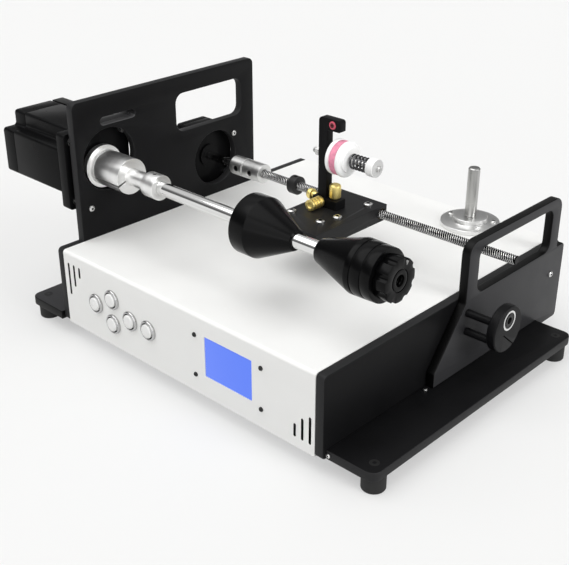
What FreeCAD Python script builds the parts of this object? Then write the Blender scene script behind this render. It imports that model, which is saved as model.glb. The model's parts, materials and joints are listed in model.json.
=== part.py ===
"""Wire coil winding machine: electronics case between two side plates, motor-driven
winding shaft with two clamping cones, and a lead-screw traverse that lays the wire.

Case frame used below: X runs right from the left side plate's inner face, Y runs back
from the front panel's outer face, Z runs up from the case floor.  save() moves every
piece once, so that the part's origin lies on the ground under the middle of the machine.
"""
import FreeCAD
import Part
import math
import os

V = FreeCAD.Vector
X_AXIS = V(1, 0, 0)
Y_AXIS = V(0, 1, 0)
Z_AXIS = V(0, 0, 1)

# ------------------------------------------------------------- case and side plates
case_width = 300.0
case_depth = 322.0
case_height = 72.0
sheet = 1.5
bend_radius = 3.0
pan_flange = 12.0
plate = 8.0
plate_corner = 6.0
small_corner = 4.0

tall_front = 23.0
tall_rear = 240.0
tall_top = 199.0
left_window_front = 139.0
left_window_length = 84.0
left_window_sill = 146.0
left_window_height = 36.5
window_corner = 9.0
slot_front = 52.0
slot_length = 39.0
slot_height = 7.0
slot_z = 177.0
slot_boss = 11.0
slot_boss_rim = 4.0
slot_boss_sole = 3.2
hub_bore_radius = 28.5
hub_bore_behind = 4.0
hub_bore_above = 6.7
screw_bore_radius = 27.0

handle_front = 162.0
handle_rear = 303.0
handle_top = 122.5
handle_corner = 11.0
handle_shoulder = 70.0
handle_toe = 124.5
handle_toe_top = 21.0
handle_low_rear = 316.0
handle_low_top = 74.0
handle_low_corner = 4.0
right_window_front = 177.0
right_window_length = 112.0
right_window_sill = 74.0
right_window_height = 39.8
right_window_corner = 8.0

right_flange_width = 45.0
right_flange_front = 4.0
left_flange_width = 48.5
left_flange_front = -3.0
foot_flange_rear = 281.0
seat_gap = 0.3
foot_flange_thickness = 8.0
foot_flange_corner = 8.0
foot_height = 14.0
foot_radius = 9.5
foot_inset_x = 10.0
foot_inset_y = 12.5

# ------------------------------------------------------------------------ fasteners
shank_gap = 0.05
screw_radius = 1.5
screw_head_radius = 2.8
screw_head_height = 1.7
foot_screw_radius = 2.0
foot_screw_head_radius = 4.0
foot_screw_head_depth = 2.2
foot_screw_reach = 6.0
foot_toe_share = 0.9
hex_depth_share = 0.6
socket_share = 1.3
flush_socket_share = 1.2
screw_shoulder_share = 0.45
screw_crown_share = 0.62
case_screw_head_share = 0.85
lcd_screw_head_radius = 2.0
lcd_screw_head = 1.4
fine_edge = 0.6
edge_break = 0.8
broad_edge = 1.0
past = 1.0
case_screw_length = 20.0
left_plate_screws = ((34.6, 101.0), (211.7, 128.5))
handle_screws = ((296.3, 49.0),)
handle_hidden_screws = ((150.0, 40.0), (235.0, 40.0))
flange_screw_in = 4.5
flange_screw_back = 119.0
front_screw_in = 2.2
front_screw_up = 4.0
front_screw_length = 9.0
flange_screw_radius = 1.2
flange_screw_head_radius = 1.9
flange_screw_head = 1.2

# ---------------------------------------------------------------------- front panel
vent_width = 2.5
vent_pitch = 7.6
left_vent_x = 6.6
left_vent_top = 61.3
left_vent_lengths = (31.0, 21.0, 10.5)
right_vent_inset = 19.8
right_vent_bottom = 8.8
right_vent_lengths = (11.5, 19.2, 23.8)

button_places = {
    "button_left": (44.0, 34.5),
    "button_up": (67.0, 46.3),
    "button_down": (67.0, 22.7),
    "button_right": (90.6, 34.5),
    "button_enter": (114.2, 34.5),
}
button_bezel_radius = 9.0
button_bezel_proud = 2.4
button_barrel_radius = 7.9
button_barrel_length = 20.0
button_cap_radius = 6.2
button_cap_proud = 1.2
button_cap_dome = 0.8
button_cap_length = 6.0
button_travel = 2.0
button_cap_gap = 0.35

lcd_x = 183.2
lcd_z = 19.4
lcd_width = 52.4
lcd_height = 36.2
lcd_gap = 0.3
lcd_glass = 2.2
lcd_glass_behind = 1.0
lcd_board_margin_x = 14.5
lcd_board_margin_z = 5.0
lcd_board_thickness = 6.5
lcd_hole_x = 172.0
lcd_hole_z = 16.8
lcd_hole_pitch_x = 73.6
lcd_hole_pitch_z = 36.6

# ------------------------------------------------------------------ inside and rear
standoff_height = 6.0
standoff_radius = 3.0
board_thickness = 1.6
board_x = 150.0
board_y = 40.0
board_length_x = 110.0
board_length_y = 80.0
component_height = 12.0
component_inset = 14.0
supply_x = 20.0
supply_y = 150.0
supply_size = (99.0, 129.0, 30.0)
driver_x = 170.0
driver_y = 150.0
driver_size = (34.0, 96.0, 36.0)
driver_pitch = 50.0
inlet_inset = 48.0
inlet_z = 36.0
inlet_flange = (50.0, 2.5, 27.0)
inlet_body = (28.0, 26.0, 20.5)
inlet_cavity = (24.0, 17.0, 16.0)
inlet_pins = ((-7.0, -2.0), (7.0, -2.0), (0.0, 3.0))
inlet_pin_size = (2.0, 13.0, 4.0)
inlet_pin_root = 0.1
rocker_from_inlet = 47.0
rocker_frame = (21.0, 2.0, 15.0)
rocker_body = (19.0, 14.0, 14.0)
rocker_half = 7.6
rocker_depth = 5.0
rocker_height = 10.4
rocker_inset = 0.7
rocker_hinge_depth = 3.0
rocker_tilt = 9.0
rocker_room = (17.2, 8.0, 11.2)
rocker_pin_radius = 1.2
rocker_pin_reach = 1.0

# --------------------------------------------------------------------------- motors
motor_gap = 3.5
motor_corner = 3.0
motor_bolt_radius = 2.0
motor_bolt_head_radius = 3.8
motor_bolt_head = 4.0
motor_bolt_reach = 6.0
motor_boss = 2.0
motor_shaft_clearance = 0.3
motor_groove = 1.2
motor_housing_gap = 5.0
spindle_motor = {"size": 70.0, "flange": 11.0, "stack": 68.5, "cap": 16.0, "notch": 14.0,
                 "underside": 27.5, "bolt_offset": 27.5, "boss_radius": 19.0,
                 "shaft_depth": 34.0, "shaft_radius": 5.0, "housing": True}
traverse_motor = {"size": 62.0, "flange": 8.0, "stack": 10.0, "cap": 6.0, "notch": 12.5,
                  "underside": 31.0, "bolt_offset": 23.6, "boss_radius": 11.0,
                  "shaft_depth": 16.0, "shaft_radius": 4.0, "housing": False}

# ------------------------------------------------------------------- winding spindle
spindle_y = 55.0
spindle_z = 134.8
spindle_shaft_end = 22.0
hub_ring_radius = 19.5
hub_ring_start = -8.4
hub_ring_end = -3.0
hub_radius = 16.0
hub_end = 35.0
hub_front_edge = 1.2
hub_groove_x = 0.5
hub_groove_width = 1.2
hub_groove_depth = 0.8
hub_slit = 2.0
hub_slit_length = 33.0
hub_slit_turn = 20.0
hub_slit_past = 0.5
hub_set_places = (10.0, 28.0)
neck_radius = 7.6
neck_end = 59.0
collar_radius = 11.0
collar_start = 59.5
collar_end = 74.5
rod_radius = 6.0
rod_start = 24.0
rod_end = 324.0
rod_step = 285.0
rod_end_radius = 4.3
rod_chamfer = 0.8
running_fit = 0.05

cone_big_radius = 24.7
cone_band = 15.0
cone_small_radius = 8.3
cone_tip_radius = 8.0
cone_left_start = 181.5
cone_left_end = 230.5
cone_right_start = 255.0
cone_right_rim = 1.0
cone_right_shoulder = 294.0
cone_right_end = 317.0
cone_right_shoulder_radius = 21.6
cone_right_end_radius = 21.0
cone_grooves = (298.5, 308.0)
cone_groove_width = 1.0
cone_groove_depth = 1.0
cone_slide = 18.0
collet_radius = 9.5
collet_room = 0.35
collet_slit = 1.4
collet_slit_length = 7.0
collet_slit_start = 1.0

knob_gap = 0.4
knob_length = 11.0
knob_radius = 17.0
knob_edge = 0.8
knob_notches = 8
knob_notch_radius = 3.2
knob_notch_circle = 18.6
knob_ring_radius = 9.0
knob_ring_groove = 0.9
knob_wall = 3.0

# ------------------------------------------------------------------ traverse and guide
screw_y = 187.0
screw_z = 109.2
lead_radius = 4.0
lead_start = 50.0
lead_end = 343.0
lead_chamfer = 1.0
traverse_shaft_end = 46.0
coupling_radius = 9.2
coupling_start = 28.5
coupling_end = 67.0
coupling_groove_width = 1.4
coupling_groove_depth = 1.6
stop_collar_radius = 8.6
stop_collar_start = 103.5
stop_collar_end = 112.0
coupling_groove_x = 43.8
coupling_set_places = (36.7, 55.0)
coupling_set_radius = 2.9
set_screw_radius = 2.0
set_screw_sunk = 0.4
grub_socket_share = 1.1

block_x = 153.5
block_width = 55.0
block_front = 101.5
block_depth = 92.5
block_top = 116.5
block_thickness = 14.0
block_corner = 1.0
nut_radius = 5.1
nut_length = 18.0
nut_recess = 2.0
lead_bore_gap = 0.5
thread_fit = 0.08
glide_radius = 4.5
glide_gap = 0.3
glide_places = ((6.0, 54.5), (6.0, 85.5))
carriage_screw_radius = 2.0
carriage_screw_head_radius = 3.9
carriage_screw_head = 1.8
carriage_screw_places = ((5.5, 24.5), (38.5, 24.0), (43.0, 40.5))
carriage_screw_length = 10.0
nut_screw_place = (44.0, 80.0)
nut_screw_length = 3.2

guide_x = 160.5
guide_width = 26.5
guide_front = 151.0
guide_depth = 12.0
guide_height = 8.0
bar_x = 164.0
bar_stem = 9.6
bar_head = 23.2
bar_front = 153.5
bar_thickness = 7.6
bar_top = 195.0
hook_height = 10.2
bar_corner = 3.5
hook_inner_corner = 1.0
hook_low_corner = 1.5
hook_top_corner = 2.5
bar_slot_gap = 0.15
bar_lift = 0.4
eyelet_from_left = 15.0
eyelet_drop = 5.1
eyelet_radius = 3.5
eyelet_hole_radius = 0.9
eyelet_proud = 0.5

tension_z = 163.0
tension_bolt_radius = 2.5
tension_bolt_tail = 7.5
tension_bolt_nut_radius = 3.9
tension_bolt_nut = 3.5
tension_sleeve_radius = 4.5
tension_sleeve = 6.4
disc_radius = 15.3
disc_thickness = 4.1
disc_gap = 0.3
felt_radius = 14.8
felt_thickness = 6.3
washer_radius = 10.8
washer_thickness = 2.5
disc_hub_play = 0.1
spring_radius = 6.5
spring_wire = 0.9
spring_length = 19.5
spring_turns = 5
tension_knob_radius = 7.9
tension_knob_length = 7.5
tension_bolt_proud = 2.8

thumb_radius = 5.0
thumb_length = 13.5
thumb_groove = 0.9
thumb_groove_depth = 0.7
thumb_grooves = (0.3, 0.55, 0.8)
thumb_dimple_share = 0.45
thumb_reach_gap = 0.25
thumb_shank_radius = 1.8
thumb_seat = 8.0
thumb_neck = 1.6
thumb_side_neck = 5.0
thumb_collar_share = 0.6
thumb_front_x = 170.5
thumb_side_radius = 4.8
thumb_side_length = 5.5
thumb_top_radius = 5.1
thumb_top_length = 12.0
thumb_top_x = 180.4
thumb_mid_z = 5.3

# --------------------------------------------------------------- spool post and side disc
post_inset = 71.0
post_from_rear = 27.0
post_flange_radius = 27.5
post_flange = 4.0
post_boss_radius = 16.0
post_boss = 5.0
post_radius = 5.5
post_root_radius = 5.0
post_height = 56.0
post_chamfer = 1.0
post_screw_circle = 21.5
post_screw_angles = (30.0, 105.0, 180.0)

disc_stand_off = 24.0
side_disc_y = 176.3
side_disc_z = 53.8
side_disc_radius = 20.0
side_disc_thickness = 8.0
side_disc_slit = 0.8
side_disc_slit_start = (-5.9, -3.5)
side_disc_slit_turn = -40.8
upper_rod = (165.2, 61.5, 3.3)
lower_rod = (165.5, 44.5, 3.3)
bearing_y = 177.2
bearing_z = 61.4
bearing_radius = 8.5
bearing_width = 6.0
bearing_race = 1.6
bearing_bore_radius = 3.0
bearing_inner_radius = 5.0
bearing_inner_end = 0.1
bearing_seal_depth = 0.6
rod_seat = 5.0
rod_disc_seat = 1.7

# ---------------------------------------------------------------------- worked out
motor_length = spindle_motor["flange"] + spindle_motor["stack"] + spindle_motor["cap"]
motor_face = -plate - motor_gap
low_plate_outer = case_width + plate
handle_outer = low_plate_outer + plate
rest_x_min = motor_face - motor_length
rest_x_max = low_plate_outer + right_flange_width
rest_y_min = -(button_bezel_proud + button_cap_proud)
right_vent_x = case_width - right_vent_inset
inlet_x = case_width - inlet_inset
rocker_x = inlet_x - rocker_from_inlet
post_x = case_width - post_inset
post_y = case_depth - post_from_rear
hub_bore_y = spindle_y + hub_bore_behind
hub_bore_z = spindle_z + hub_bore_above
cone_step = rod_step + cone_slide + seat_gap
knob_hole_radius = rod_end_radius + seat_gap
rocker_rise = rocker_half * math.tan(math.radians(rocker_tilt))
rocker_hinge_y = case_depth + rocker_frame[1] - rocker_hinge_depth
rest_y_max = (rocker_hinge_y + rocker_half * math.sin(math.radians(rocker_tilt))
              + (rocker_hinge_depth + rocker_rise) * math.cos(math.radians(rocker_tilt)))
ORIGIN = V(-(rest_x_min + rest_x_max) / 2, -(rest_y_min + rest_y_max) / 2, foot_height)


# ------------------------------------------------------------------------- helpers
def box(x0, x1, y0, y1, z0, z1):
    """Block between two corners."""
    return Part.makeBox(x1 - x0, y1 - y0, z1 - z0, V(x0, y0, z0))


def rod(start, end, radius):
    """Round bar between two points."""
    run = end - start
    return Part.makeCylinder(radius, run.Length, start, run)


def rod_x(x0, x1, y, z, radius):
    """Round bar along X."""
    return rod(V(x0, y, z), V(x1, y, z), radius)


def rod_y(y0, y1, x, z, radius):
    """Round bar along Y."""
    return rod(V(x, y0, z), V(x, y1, z), radius)


def rod_z(z0, z1, x, y, radius):
    """Round bar along Z."""
    return rod(V(x, y, z0), V(x, y, z1), radius)


def rounded_wire(points):
    """Closed outline of corner points (position, corner radius), with true arcs."""
    count = len(points)
    edges = []
    joints = []
    for index in range(count):
        corner, radius = points[index]
        back = (points[index - 1][0] - corner).normalize()
        ahead = (points[(index + 1) % count][0] - corner).normalize()
        if radius <= 0:
            joints.append((corner, corner, None))
            continue
        half = back.getAngle(ahead) / 2
        reach = radius / math.tan(half)
        middle = (back + ahead).normalize() * (radius / math.sin(half) - radius)
        joints.append((corner + back * reach, corner + ahead * reach, corner + middle))
    for index in range(count):
        start, end, middle = joints[index]
        if middle is not None:
            edges.append(Part.Arc(start, middle, end).toShape())
        following = joints[(index + 1) % count][0]
        if end.distanceToPoint(following) > 1e-6:
            edges.append(Part.LineSegment(end, following).toShape())
    return Part.Wire(edges)


def side_profile(points, x0, x1):
    """Plate across X whose outline is given as (y, z, corner radius)."""
    wire = rounded_wire([(V(x0, y, z), radius) for y, z, radius in points])
    return Part.Face(wire).extrude(V(x1 - x0, 0, 0))


def side_window(y0, y1, z0, z1, corner, x0, x1):
    """Rounded rectangular cutter across X."""
    corners = [(y0, z0, corner), (y1, z0, corner), (y1, z1, corner), (y0, z1, corner)]
    return side_profile(corners, x0, x1)


def turned(points, start, axis):
    """Solid of revolution: points are (distance along the axis, radius), closed on the axis."""
    side = Z_AXIS if abs(axis.y) > 0.5 else Y_AXIS
    outline = [(points[0][0], 0.0)] + list(points) + [(points[-1][0], 0.0)]
    corners = [start + axis * along + side * radius for along, radius in outline]
    wire = Part.makePolygon(corners + [corners[0]])
    return Part.Face(wire).revolve(start, axis, 360)


def ring_cut(shape, start, axis, along, width, radius, depth):
    """Narrow square groove turned into a round piece."""
    origin = start + axis * along
    outer = Part.makeCylinder(radius + depth, width, origin, axis)
    inner = Part.makeCylinder(radius - depth, width, origin, axis)
    return shape.cut(outer.cut(inner))


def hex_socket(centre, axis, across, depth):
    """Hexagonal key socket cut inwards against axis from the head's face."""
    side = Y_AXIS if abs(axis.y) < 0.5 else X_AXIS
    other = axis.cross(side)
    corner = across / math.sqrt(3)
    points = []
    for step in range(6):
        angle = math.pi / 3 * step
        points.append(centre + side * (corner * math.cos(angle)) + other * (corner * math.sin(angle)))
    face = Part.Face(Part.makePolygon(points + [points[0]]))
    return face.extrude(axis * -depth)


def button_screw(seat, axis, shank, length, head_radius, head):
    """Round-headed key screw: seat is the point under the head, axis points out of the head."""
    body = Part.makeCylinder(shank, length, seat - axis * length, axis)
    dome = turned([(0, head_radius), (head * screw_shoulder_share, head_radius),
                   (head, head_radius * screw_crown_share)], seat, axis)
    socket = hex_socket(seat + axis * head, axis, shank * socket_share, head * hex_depth_share)
    return body.fuse(dome).cut(socket).removeSplitter()


def flush_screw(face, axis, shank, length, head_radius, head):
    """Countersunk key screw whose head top lies in the face."""
    cone = Part.makeCone(head_radius, shank, head, face, axis * -1)
    body = Part.makeCylinder(shank, length - head, face - axis * head, axis * -1)
    socket = hex_socket(face, axis, shank * flush_socket_share, head * hex_depth_share)
    return body.fuse(cone).cut(socket).removeSplitter()


def save(node, *solids):
    """Move the finished pieces to the part's origin and write their STEP file."""
    pieces = [solid.translated(ORIGIN) for solid in solids]
    shape = pieces[0] if len(pieces) == 1 else Part.makeCompound(pieces)
    shape.exportStep("parts/" + node + ".step")


def cut_all(shape, cutters):
    """Take every cutter out of the shape."""
    for cutter in cutters:
        shape = shape.cut(cutter)
    return shape


def bolt_places(spec, y, z):
    """The four corner bolts of a motor whose axis passes through (y, z)."""
    reach = spec["bolt_offset"]
    return [(y + a * reach, z + b * reach) for a in (-1, 1) for b in (-1, 1)]


def all_motor_bolts():
    """Both motors' bolts with the sizes of the motor that each belongs to."""
    spindle = [(spindle_motor, place) for place in bolt_places(spindle_motor, spindle_y, spindle_z)]
    traverse = [(traverse_motor, place) for place in bolt_places(traverse_motor, screw_y, screw_z)]
    return spindle + traverse


def case_screw_places():
    """Screws that tie case floor, side plate and foot flange together, front to rear."""
    first = right_flange_front + foot_inset_y
    last = foot_flange_rear - foot_inset_y
    return [first, (first + last) / 2, last]


# ------------------------------------------------------------------ case and its floor
def case_cover():
    """Folded sheet of front, top and rear wall with its cut-outs."""
    outer = rounded_wire([
        (V(0, 0, 0), 0), (V(0, 0, case_height), bend_radius),
        (V(0, case_depth, case_height), bend_radius), (V(0, case_depth, 0), 0)])
    inner_radius = bend_radius - sheet
    inner = rounded_wire([
        (V(0, sheet, -sheet), 0), (V(0, sheet, case_height - sheet), inner_radius),
        (V(0, case_depth - sheet, case_height - sheet), inner_radius),
        (V(0, case_depth - sheet, -sheet), 0)])
    run = V(case_width, 0, 0)
    shell = Part.Face(outer).extrude(run).cut(Part.Face(inner).extrude(run))
    cutters = []
    for x, z in button_places.values():
        cutters.append(rod_y(-sheet, 2 * sheet, x, z, button_barrel_radius + shank_gap))
    cutters.append(box(lcd_x, lcd_x + lcd_width, -sheet, 2 * sheet, lcd_z, lcd_z + lcd_height))
    for x, z in lcd_screw_places():
        cutters.append(rod_y(-sheet, 2 * sheet, x, z, screw_radius + shank_gap))
    for index, length in enumerate(left_vent_lengths):
        x = left_vent_x + index * vent_pitch
        cutters.append(vent_slot(x, left_vent_top - length, left_vent_top))
    for index, length in enumerate(right_vent_lengths):
        x = right_vent_x + index * vent_pitch
        cutters.append(vent_slot(x, right_vent_bottom, right_vent_bottom + length))
    for x, y in post_screw_places():
        cutters.append(rod_z(case_height - 2 * sheet, case_height + sheet, x, y, screw_radius + shank_gap))
    rear = case_depth - 2 * sheet
    cutters.append(centred_block(inlet_x, rear, inlet_z, inlet_body, shank_gap))
    cutters.append(centred_block(rocker_x, rear, inlet_z, rocker_body, shank_gap))
    save("case_cover", cut_all(shell, cutters))


def vent_slot(x, z0, z1):
    """Upright slot with round ends through the front panel."""
    radius = vent_width / 2
    middle = box(x - radius, x + radius, -sheet, 2 * sheet, z0 + radius, z1 - radius)
    low = rod_y(-sheet, 2 * sheet, x, z0 + radius, radius)
    high = rod_y(-sheet, 2 * sheet, x, z1 - radius, radius)
    return middle.fuse(low).fuse(high)


def centred_block(x, y0, z, size, gap=0.0):
    """Block centred on (x, z) that starts at y0 and runs back by the size's depth."""
    half_x = size[0] / 2 + gap
    half_z = size[2] / 2 + gap
    return box(x - half_x, x + half_x, y0, y0 + size[1], z - half_z, z + half_z)


def lcd_screw_places():
    """The four screws round the display."""
    return [(lcd_hole_x + a * lcd_hole_pitch_x, lcd_hole_z + b * lcd_hole_pitch_z)
            for a in (0, 1) for b in (0, 1)]


def post_screw_places():
    """The spool post's three flange screws."""
    places = []
    for angle in post_screw_angles:
        turn = math.radians(angle)
        places.append((post_x + post_screw_circle * math.cos(turn),
                       post_y + post_screw_circle * math.sin(turn)))
    return places


def board_standoffs():
    """Corner places of the control board's standoffs."""
    inset = standoff_radius + 1.0
    xs = (board_x + inset, board_x + board_length_x - inset)
    ys = (board_y + inset, board_y + board_length_y - inset)
    return [(x, y) for x in xs for y in ys]


def bottom_pan():
    """Floor sheet with a low flange at each side and the standoffs of the control board."""
    gap = shank_gap
    y0 = sheet + gap
    y1 = case_depth - sheet - gap
    pan = box(0, case_width, y0, y1, 0, sheet)
    for x in (0, case_width - sheet):
        pan = pan.fuse(box(x, x + sheet, y0, y1, 0, pan_flange))
    for x, y in board_standoffs():
        pan = pan.fuse(rod_z(0, sheet + standoff_height, x, y, standoff_radius))
    z = foot_flange_thickness / 2
    for y in case_screw_places():
        pan = pan.cut(rod_x(-sheet, case_width + sheet, y, z, screw_radius + shank_gap))
    save("bottom_pan", pan.removeSplitter())


# ------------------------------------------------------------------------ side plates
def left_side_plate():
    """Tall plate with handle window, slot, hub bore and lead screw bore."""
    outline = [
        (0, 0, small_corner), (case_depth, 0, small_corner),
        (case_depth, case_height, small_corner), (tall_rear, case_height, 0),
        (tall_rear, tall_top, plate_corner), (tall_front, tall_top, plate_corner),
        (tall_front, case_height, 0), (0, case_height, small_corner)]
    half = slot_height / 2
    rim = slot_boss_rim
    boss = side_window(slot_front - rim, slot_front + slot_length + rim,
                       slot_z - half - slot_boss_sole, slot_z + half + rim, rim / 2,
                       -plate - slot_boss, -plate)
    body = side_profile(outline, -plate, 0).fuse(boss)
    x0 = -plate - slot_boss - past
    slot = side_window(slot_front, slot_front + slot_length, slot_z - half, slot_z + half,
                       half, x0, past)
    window = side_window(left_window_front, left_window_front + left_window_length,
                         left_window_sill, left_window_sill + left_window_height,
                         window_corner, x0, past)
    cutters = [slot, window,
               rod_x(x0, past, hub_bore_y, hub_bore_z, hub_bore_radius),
               rod_x(x0, past, screw_y, screw_z, screw_bore_radius)]
    for spec, (y, z) in all_motor_bolts():
        reach = -plate + motor_bolt_reach + shank_gap
        cutters.append(rod_x(x0, reach, y, z, motor_bolt_radius + shank_gap))
    for y in case_screw_places():
        cutters.append(rod_x(x0, past, y, foot_flange_thickness / 2, screw_radius + shank_gap))
    for y, z in left_plate_screws:
        cutters.append(rod_x(x0, past, y, z, screw_radius + shank_gap))
    save("left_side_plate", cut_all(body, cutters))


def right_side_plate():
    """Low plate that closes the case on the right."""
    outline = [(0, 0, small_corner), (case_depth, 0, small_corner),
               (case_depth, case_height, small_corner), (0, case_height, small_corner)]
    body = side_profile(outline, case_width, low_plate_outer)
    x0 = case_width - past
    x1 = low_plate_outer + past
    cutters = []
    for y in case_screw_places():
        cutters.append(rod_x(x0, x1, y, foot_flange_thickness / 2, screw_radius + shank_gap))
    for y, z in handle_screws + handle_hidden_screws:
        cutters.append(rod_x(x0, x1, y, z, screw_radius + shank_gap))
    save("right_side_plate", cut_all(body, cutters))


def right_handle_plate():
    """Outer plate with the right handle window; its foot stands on the flange."""
    low = foot_flange_thickness
    flange_rear = foot_flange_rear + seat_gap
    outline = [
        (handle_toe, low, 0), (flange_rear, low, 0), (flange_rear, 0, 0),
        (handle_low_rear, 0, handle_low_corner), (handle_low_rear, handle_low_top, small_corner),
        (handle_rear, handle_low_top, 0), (handle_rear, handle_top, handle_corner),
        (handle_front, handle_top, handle_corner), (handle_front, handle_shoulder, small_corner),
        (handle_toe, handle_toe_top, small_corner)]
    body = side_profile(outline, low_plate_outer, handle_outer)
    x0 = low_plate_outer - past
    x1 = handle_outer + past
    cutters = [side_window(right_window_front, right_window_front + right_window_length,
                           right_window_sill, right_window_sill + right_window_height,
                           right_window_corner, x0, x1)]
    for y, z in handle_screws:
        cutters.append(rod_x(x0, x1, y, z, screw_radius + shank_gap))
    for y, z in handle_hidden_screws:
        cutters.append(rod_x(x0, low_plate_outer + rod_seat + shank_gap, y, z, screw_radius + shank_gap))
    for y, z, radius in (upper_rod, lower_rod):
        cutters.append(rod_x(handle_outer - rod_seat - shank_gap, x1, y, z, radius + shank_gap))
    save("right_handle_plate", cut_all(body, cutters))


def foot_places(side):
    """Foot centres under one flange: side is -1 for the left flange and 1 for the right."""
    x = foot_flange_edge(side) - side * foot_inset_x
    return [(x, foot_flange_start(side) + foot_inset_y), (x, foot_flange_rear - foot_inset_y)]


def foot_flange_edge(side):
    """Outer X of a foot flange."""
    return -plate - left_flange_width if side < 0 else low_plate_outer + right_flange_width


def foot_flange_start(side):
    """Front Y of a foot flange."""
    return left_flange_front if side < 0 else right_flange_front


def foot_flanges():
    """The two flanges beside the case that carry the feet."""
    for side, node in ((-1, "left_foot_flange"), (1, "right_foot_flange")):
        inner = -plate if side < 0 else low_plate_outer
        outer = foot_flange_edge(side)
        y0 = foot_flange_start(side)
        y1 = foot_flange_rear
        corners = [(V(inner, y0, 0), 0), (V(outer, y0, 0), foot_flange_corner),
                   (V(outer, y1, 0), foot_flange_corner), (V(inner, y1, 0), 0)]
        body = Part.Face(rounded_wire(corners)).extrude(V(0, 0, foot_flange_thickness))
        top = foot_flange_thickness
        for x, y in foot_places(side):
            seat = V(x, y, top)
            body = body.cut(rod_z(-past, top + past, x, y, foot_screw_radius + shank_gap))
            body = body.cut(Part.makeCone(foot_screw_head_radius + shank_gap,
                                          foot_screw_radius + shank_gap,
                                          foot_screw_head_depth, seat, Z_AXIS * -1))
        if side > 0:
            for seat, axis, length in flange_screws():
                end = seat - axis * (length + shank_gap)
                body = body.cut(rod(end, seat + axis, flange_screw_radius + shank_gap))
        for y in case_screw_places():
            depth = case_screw_length - sheet - plate + shank_gap
            body = body.cut(rod_x(inner - side, inner + side * depth, y, top / 2,
                                  screw_radius + shank_gap))
        save(node, body)


def flange_screws():
    """Small screws of the right flange as (seat, axis, length): one on top in front of the
    handle plate, one in its front face."""
    top = foot_flange_thickness
    upper = V(low_plate_outer + flange_screw_in, flange_screw_back, top)
    front = V(low_plate_outer + front_screw_in, right_flange_front, front_screw_up)
    return [(upper, Z_AXIS, top - seat_gap), (front, Y_AXIS * -1, front_screw_length)]


def rubber_feet():
    """Four turned rubber feet."""
    feet = []
    rim = foot_radius * foot_toe_share
    for side in (-1, 1):
        for x, y in foot_places(side):
            profile = [(0, rim), (broad_edge, foot_radius), (foot_height, foot_radius)]
            foot = turned(profile, V(x, y, -foot_height), Z_AXIS)
            hole = rod_z(-foot_screw_reach - shank_gap, past, x, y, foot_screw_radius + shank_gap)
            feet.append(foot.cut(hole))
    save("rubber_feet", *feet)


def black_screws():
    """Black countersunk screws of the feet, and the display's four."""
    screws = []
    top = foot_flange_thickness
    for side in (-1, 1):
        for x, y in foot_places(side):
            screws.append(flush_screw(V(x, y, top), Z_AXIS, foot_screw_radius,
                                      top + foot_screw_reach, foot_screw_head_radius,
                                      foot_screw_head_depth))
    for x, z in lcd_screw_places():
        screws.append(button_screw(V(x, 0, z), Y_AXIS * -1, screw_radius,
                                   sheet + lcd_gap + lcd_board_thickness,
                                   lcd_screw_head_radius, lcd_screw_head))
    save("black_screws", *screws)


def plate_screws():
    """Bright screws of the side plates, case floor, right flange and spool post."""
    screws = []
    head = (screw_head_radius, screw_head_height)
    for y, z in left_plate_screws:
        screws.append(button_screw(V(0, y, z), X_AXIS, screw_radius, plate, *head))
    for y, z in handle_screws:
        screws.append(button_screw(V(handle_outer, y, z), X_AXIS, screw_radius, 2 * plate, *head))
    for y, z in handle_hidden_screws:
        screws.append(button_screw(V(case_width, y, z), X_AXIS * -1, screw_radius,
                                   plate + rod_seat, *head))
    z = foot_flange_thickness / 2
    small_head = (screw_head_radius * case_screw_head_share, screw_head_height)
    for y in case_screw_places():
        screws.append(button_screw(V(sheet, y, z), X_AXIS, screw_radius, case_screw_length, *small_head))
        screws.append(button_screw(V(case_width - sheet, y, z), X_AXIS * -1, screw_radius,
                                   case_screw_length, *small_head))
    for x, y in post_screw_places():
        screws.append(button_screw(V(x, y, case_height + post_flange), Z_AXIS, screw_radius,
                                   post_flange + 2 * sheet, *head))
    for seat, axis, length in flange_screws():
        screws.append(button_screw(seat, axis, flange_screw_radius, length,
                                   flange_screw_head_radius, flange_screw_head))
    save("plate_screws", *screws)


# ------------------------------------------------------------------------ front panel
def push_buttons():
    """Five push buttons: bezel with barrel, and a cap that slides in it."""
    bezels = []
    for node, (x, z) in button_places.items():
        front = V(x, -button_bezel_proud, z)
        rim = turned([(0, button_bezel_radius - broad_edge), (edge_break, button_bezel_radius),
                      (button_bezel_proud, button_bezel_radius)], front, Y_AXIS)
        barrel = rod_y(-0.01, button_barrel_length, x, z, button_barrel_radius)
        room = rod_y(-button_bezel_proud - past, button_cap_length + button_travel + button_cap_gap,
                     x, z, button_cap_radius + button_cap_gap)
        bezels.append(rim.fuse(barrel).cut(room).removeSplitter())
        cap_front = V(x, -button_bezel_proud - button_cap_proud, z)
        cap_end = button_cap_proud + button_bezel_proud + button_cap_length
        cap = turned([(0, button_cap_radius * 0.55), (button_cap_dome * 0.45, button_cap_radius * 0.86),
                      (button_cap_dome, button_cap_radius), (cap_end, button_cap_radius)],
                     cap_front, Y_AXIS)
        save(node, cap)
    save("button_bezels", *bezels)


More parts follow.
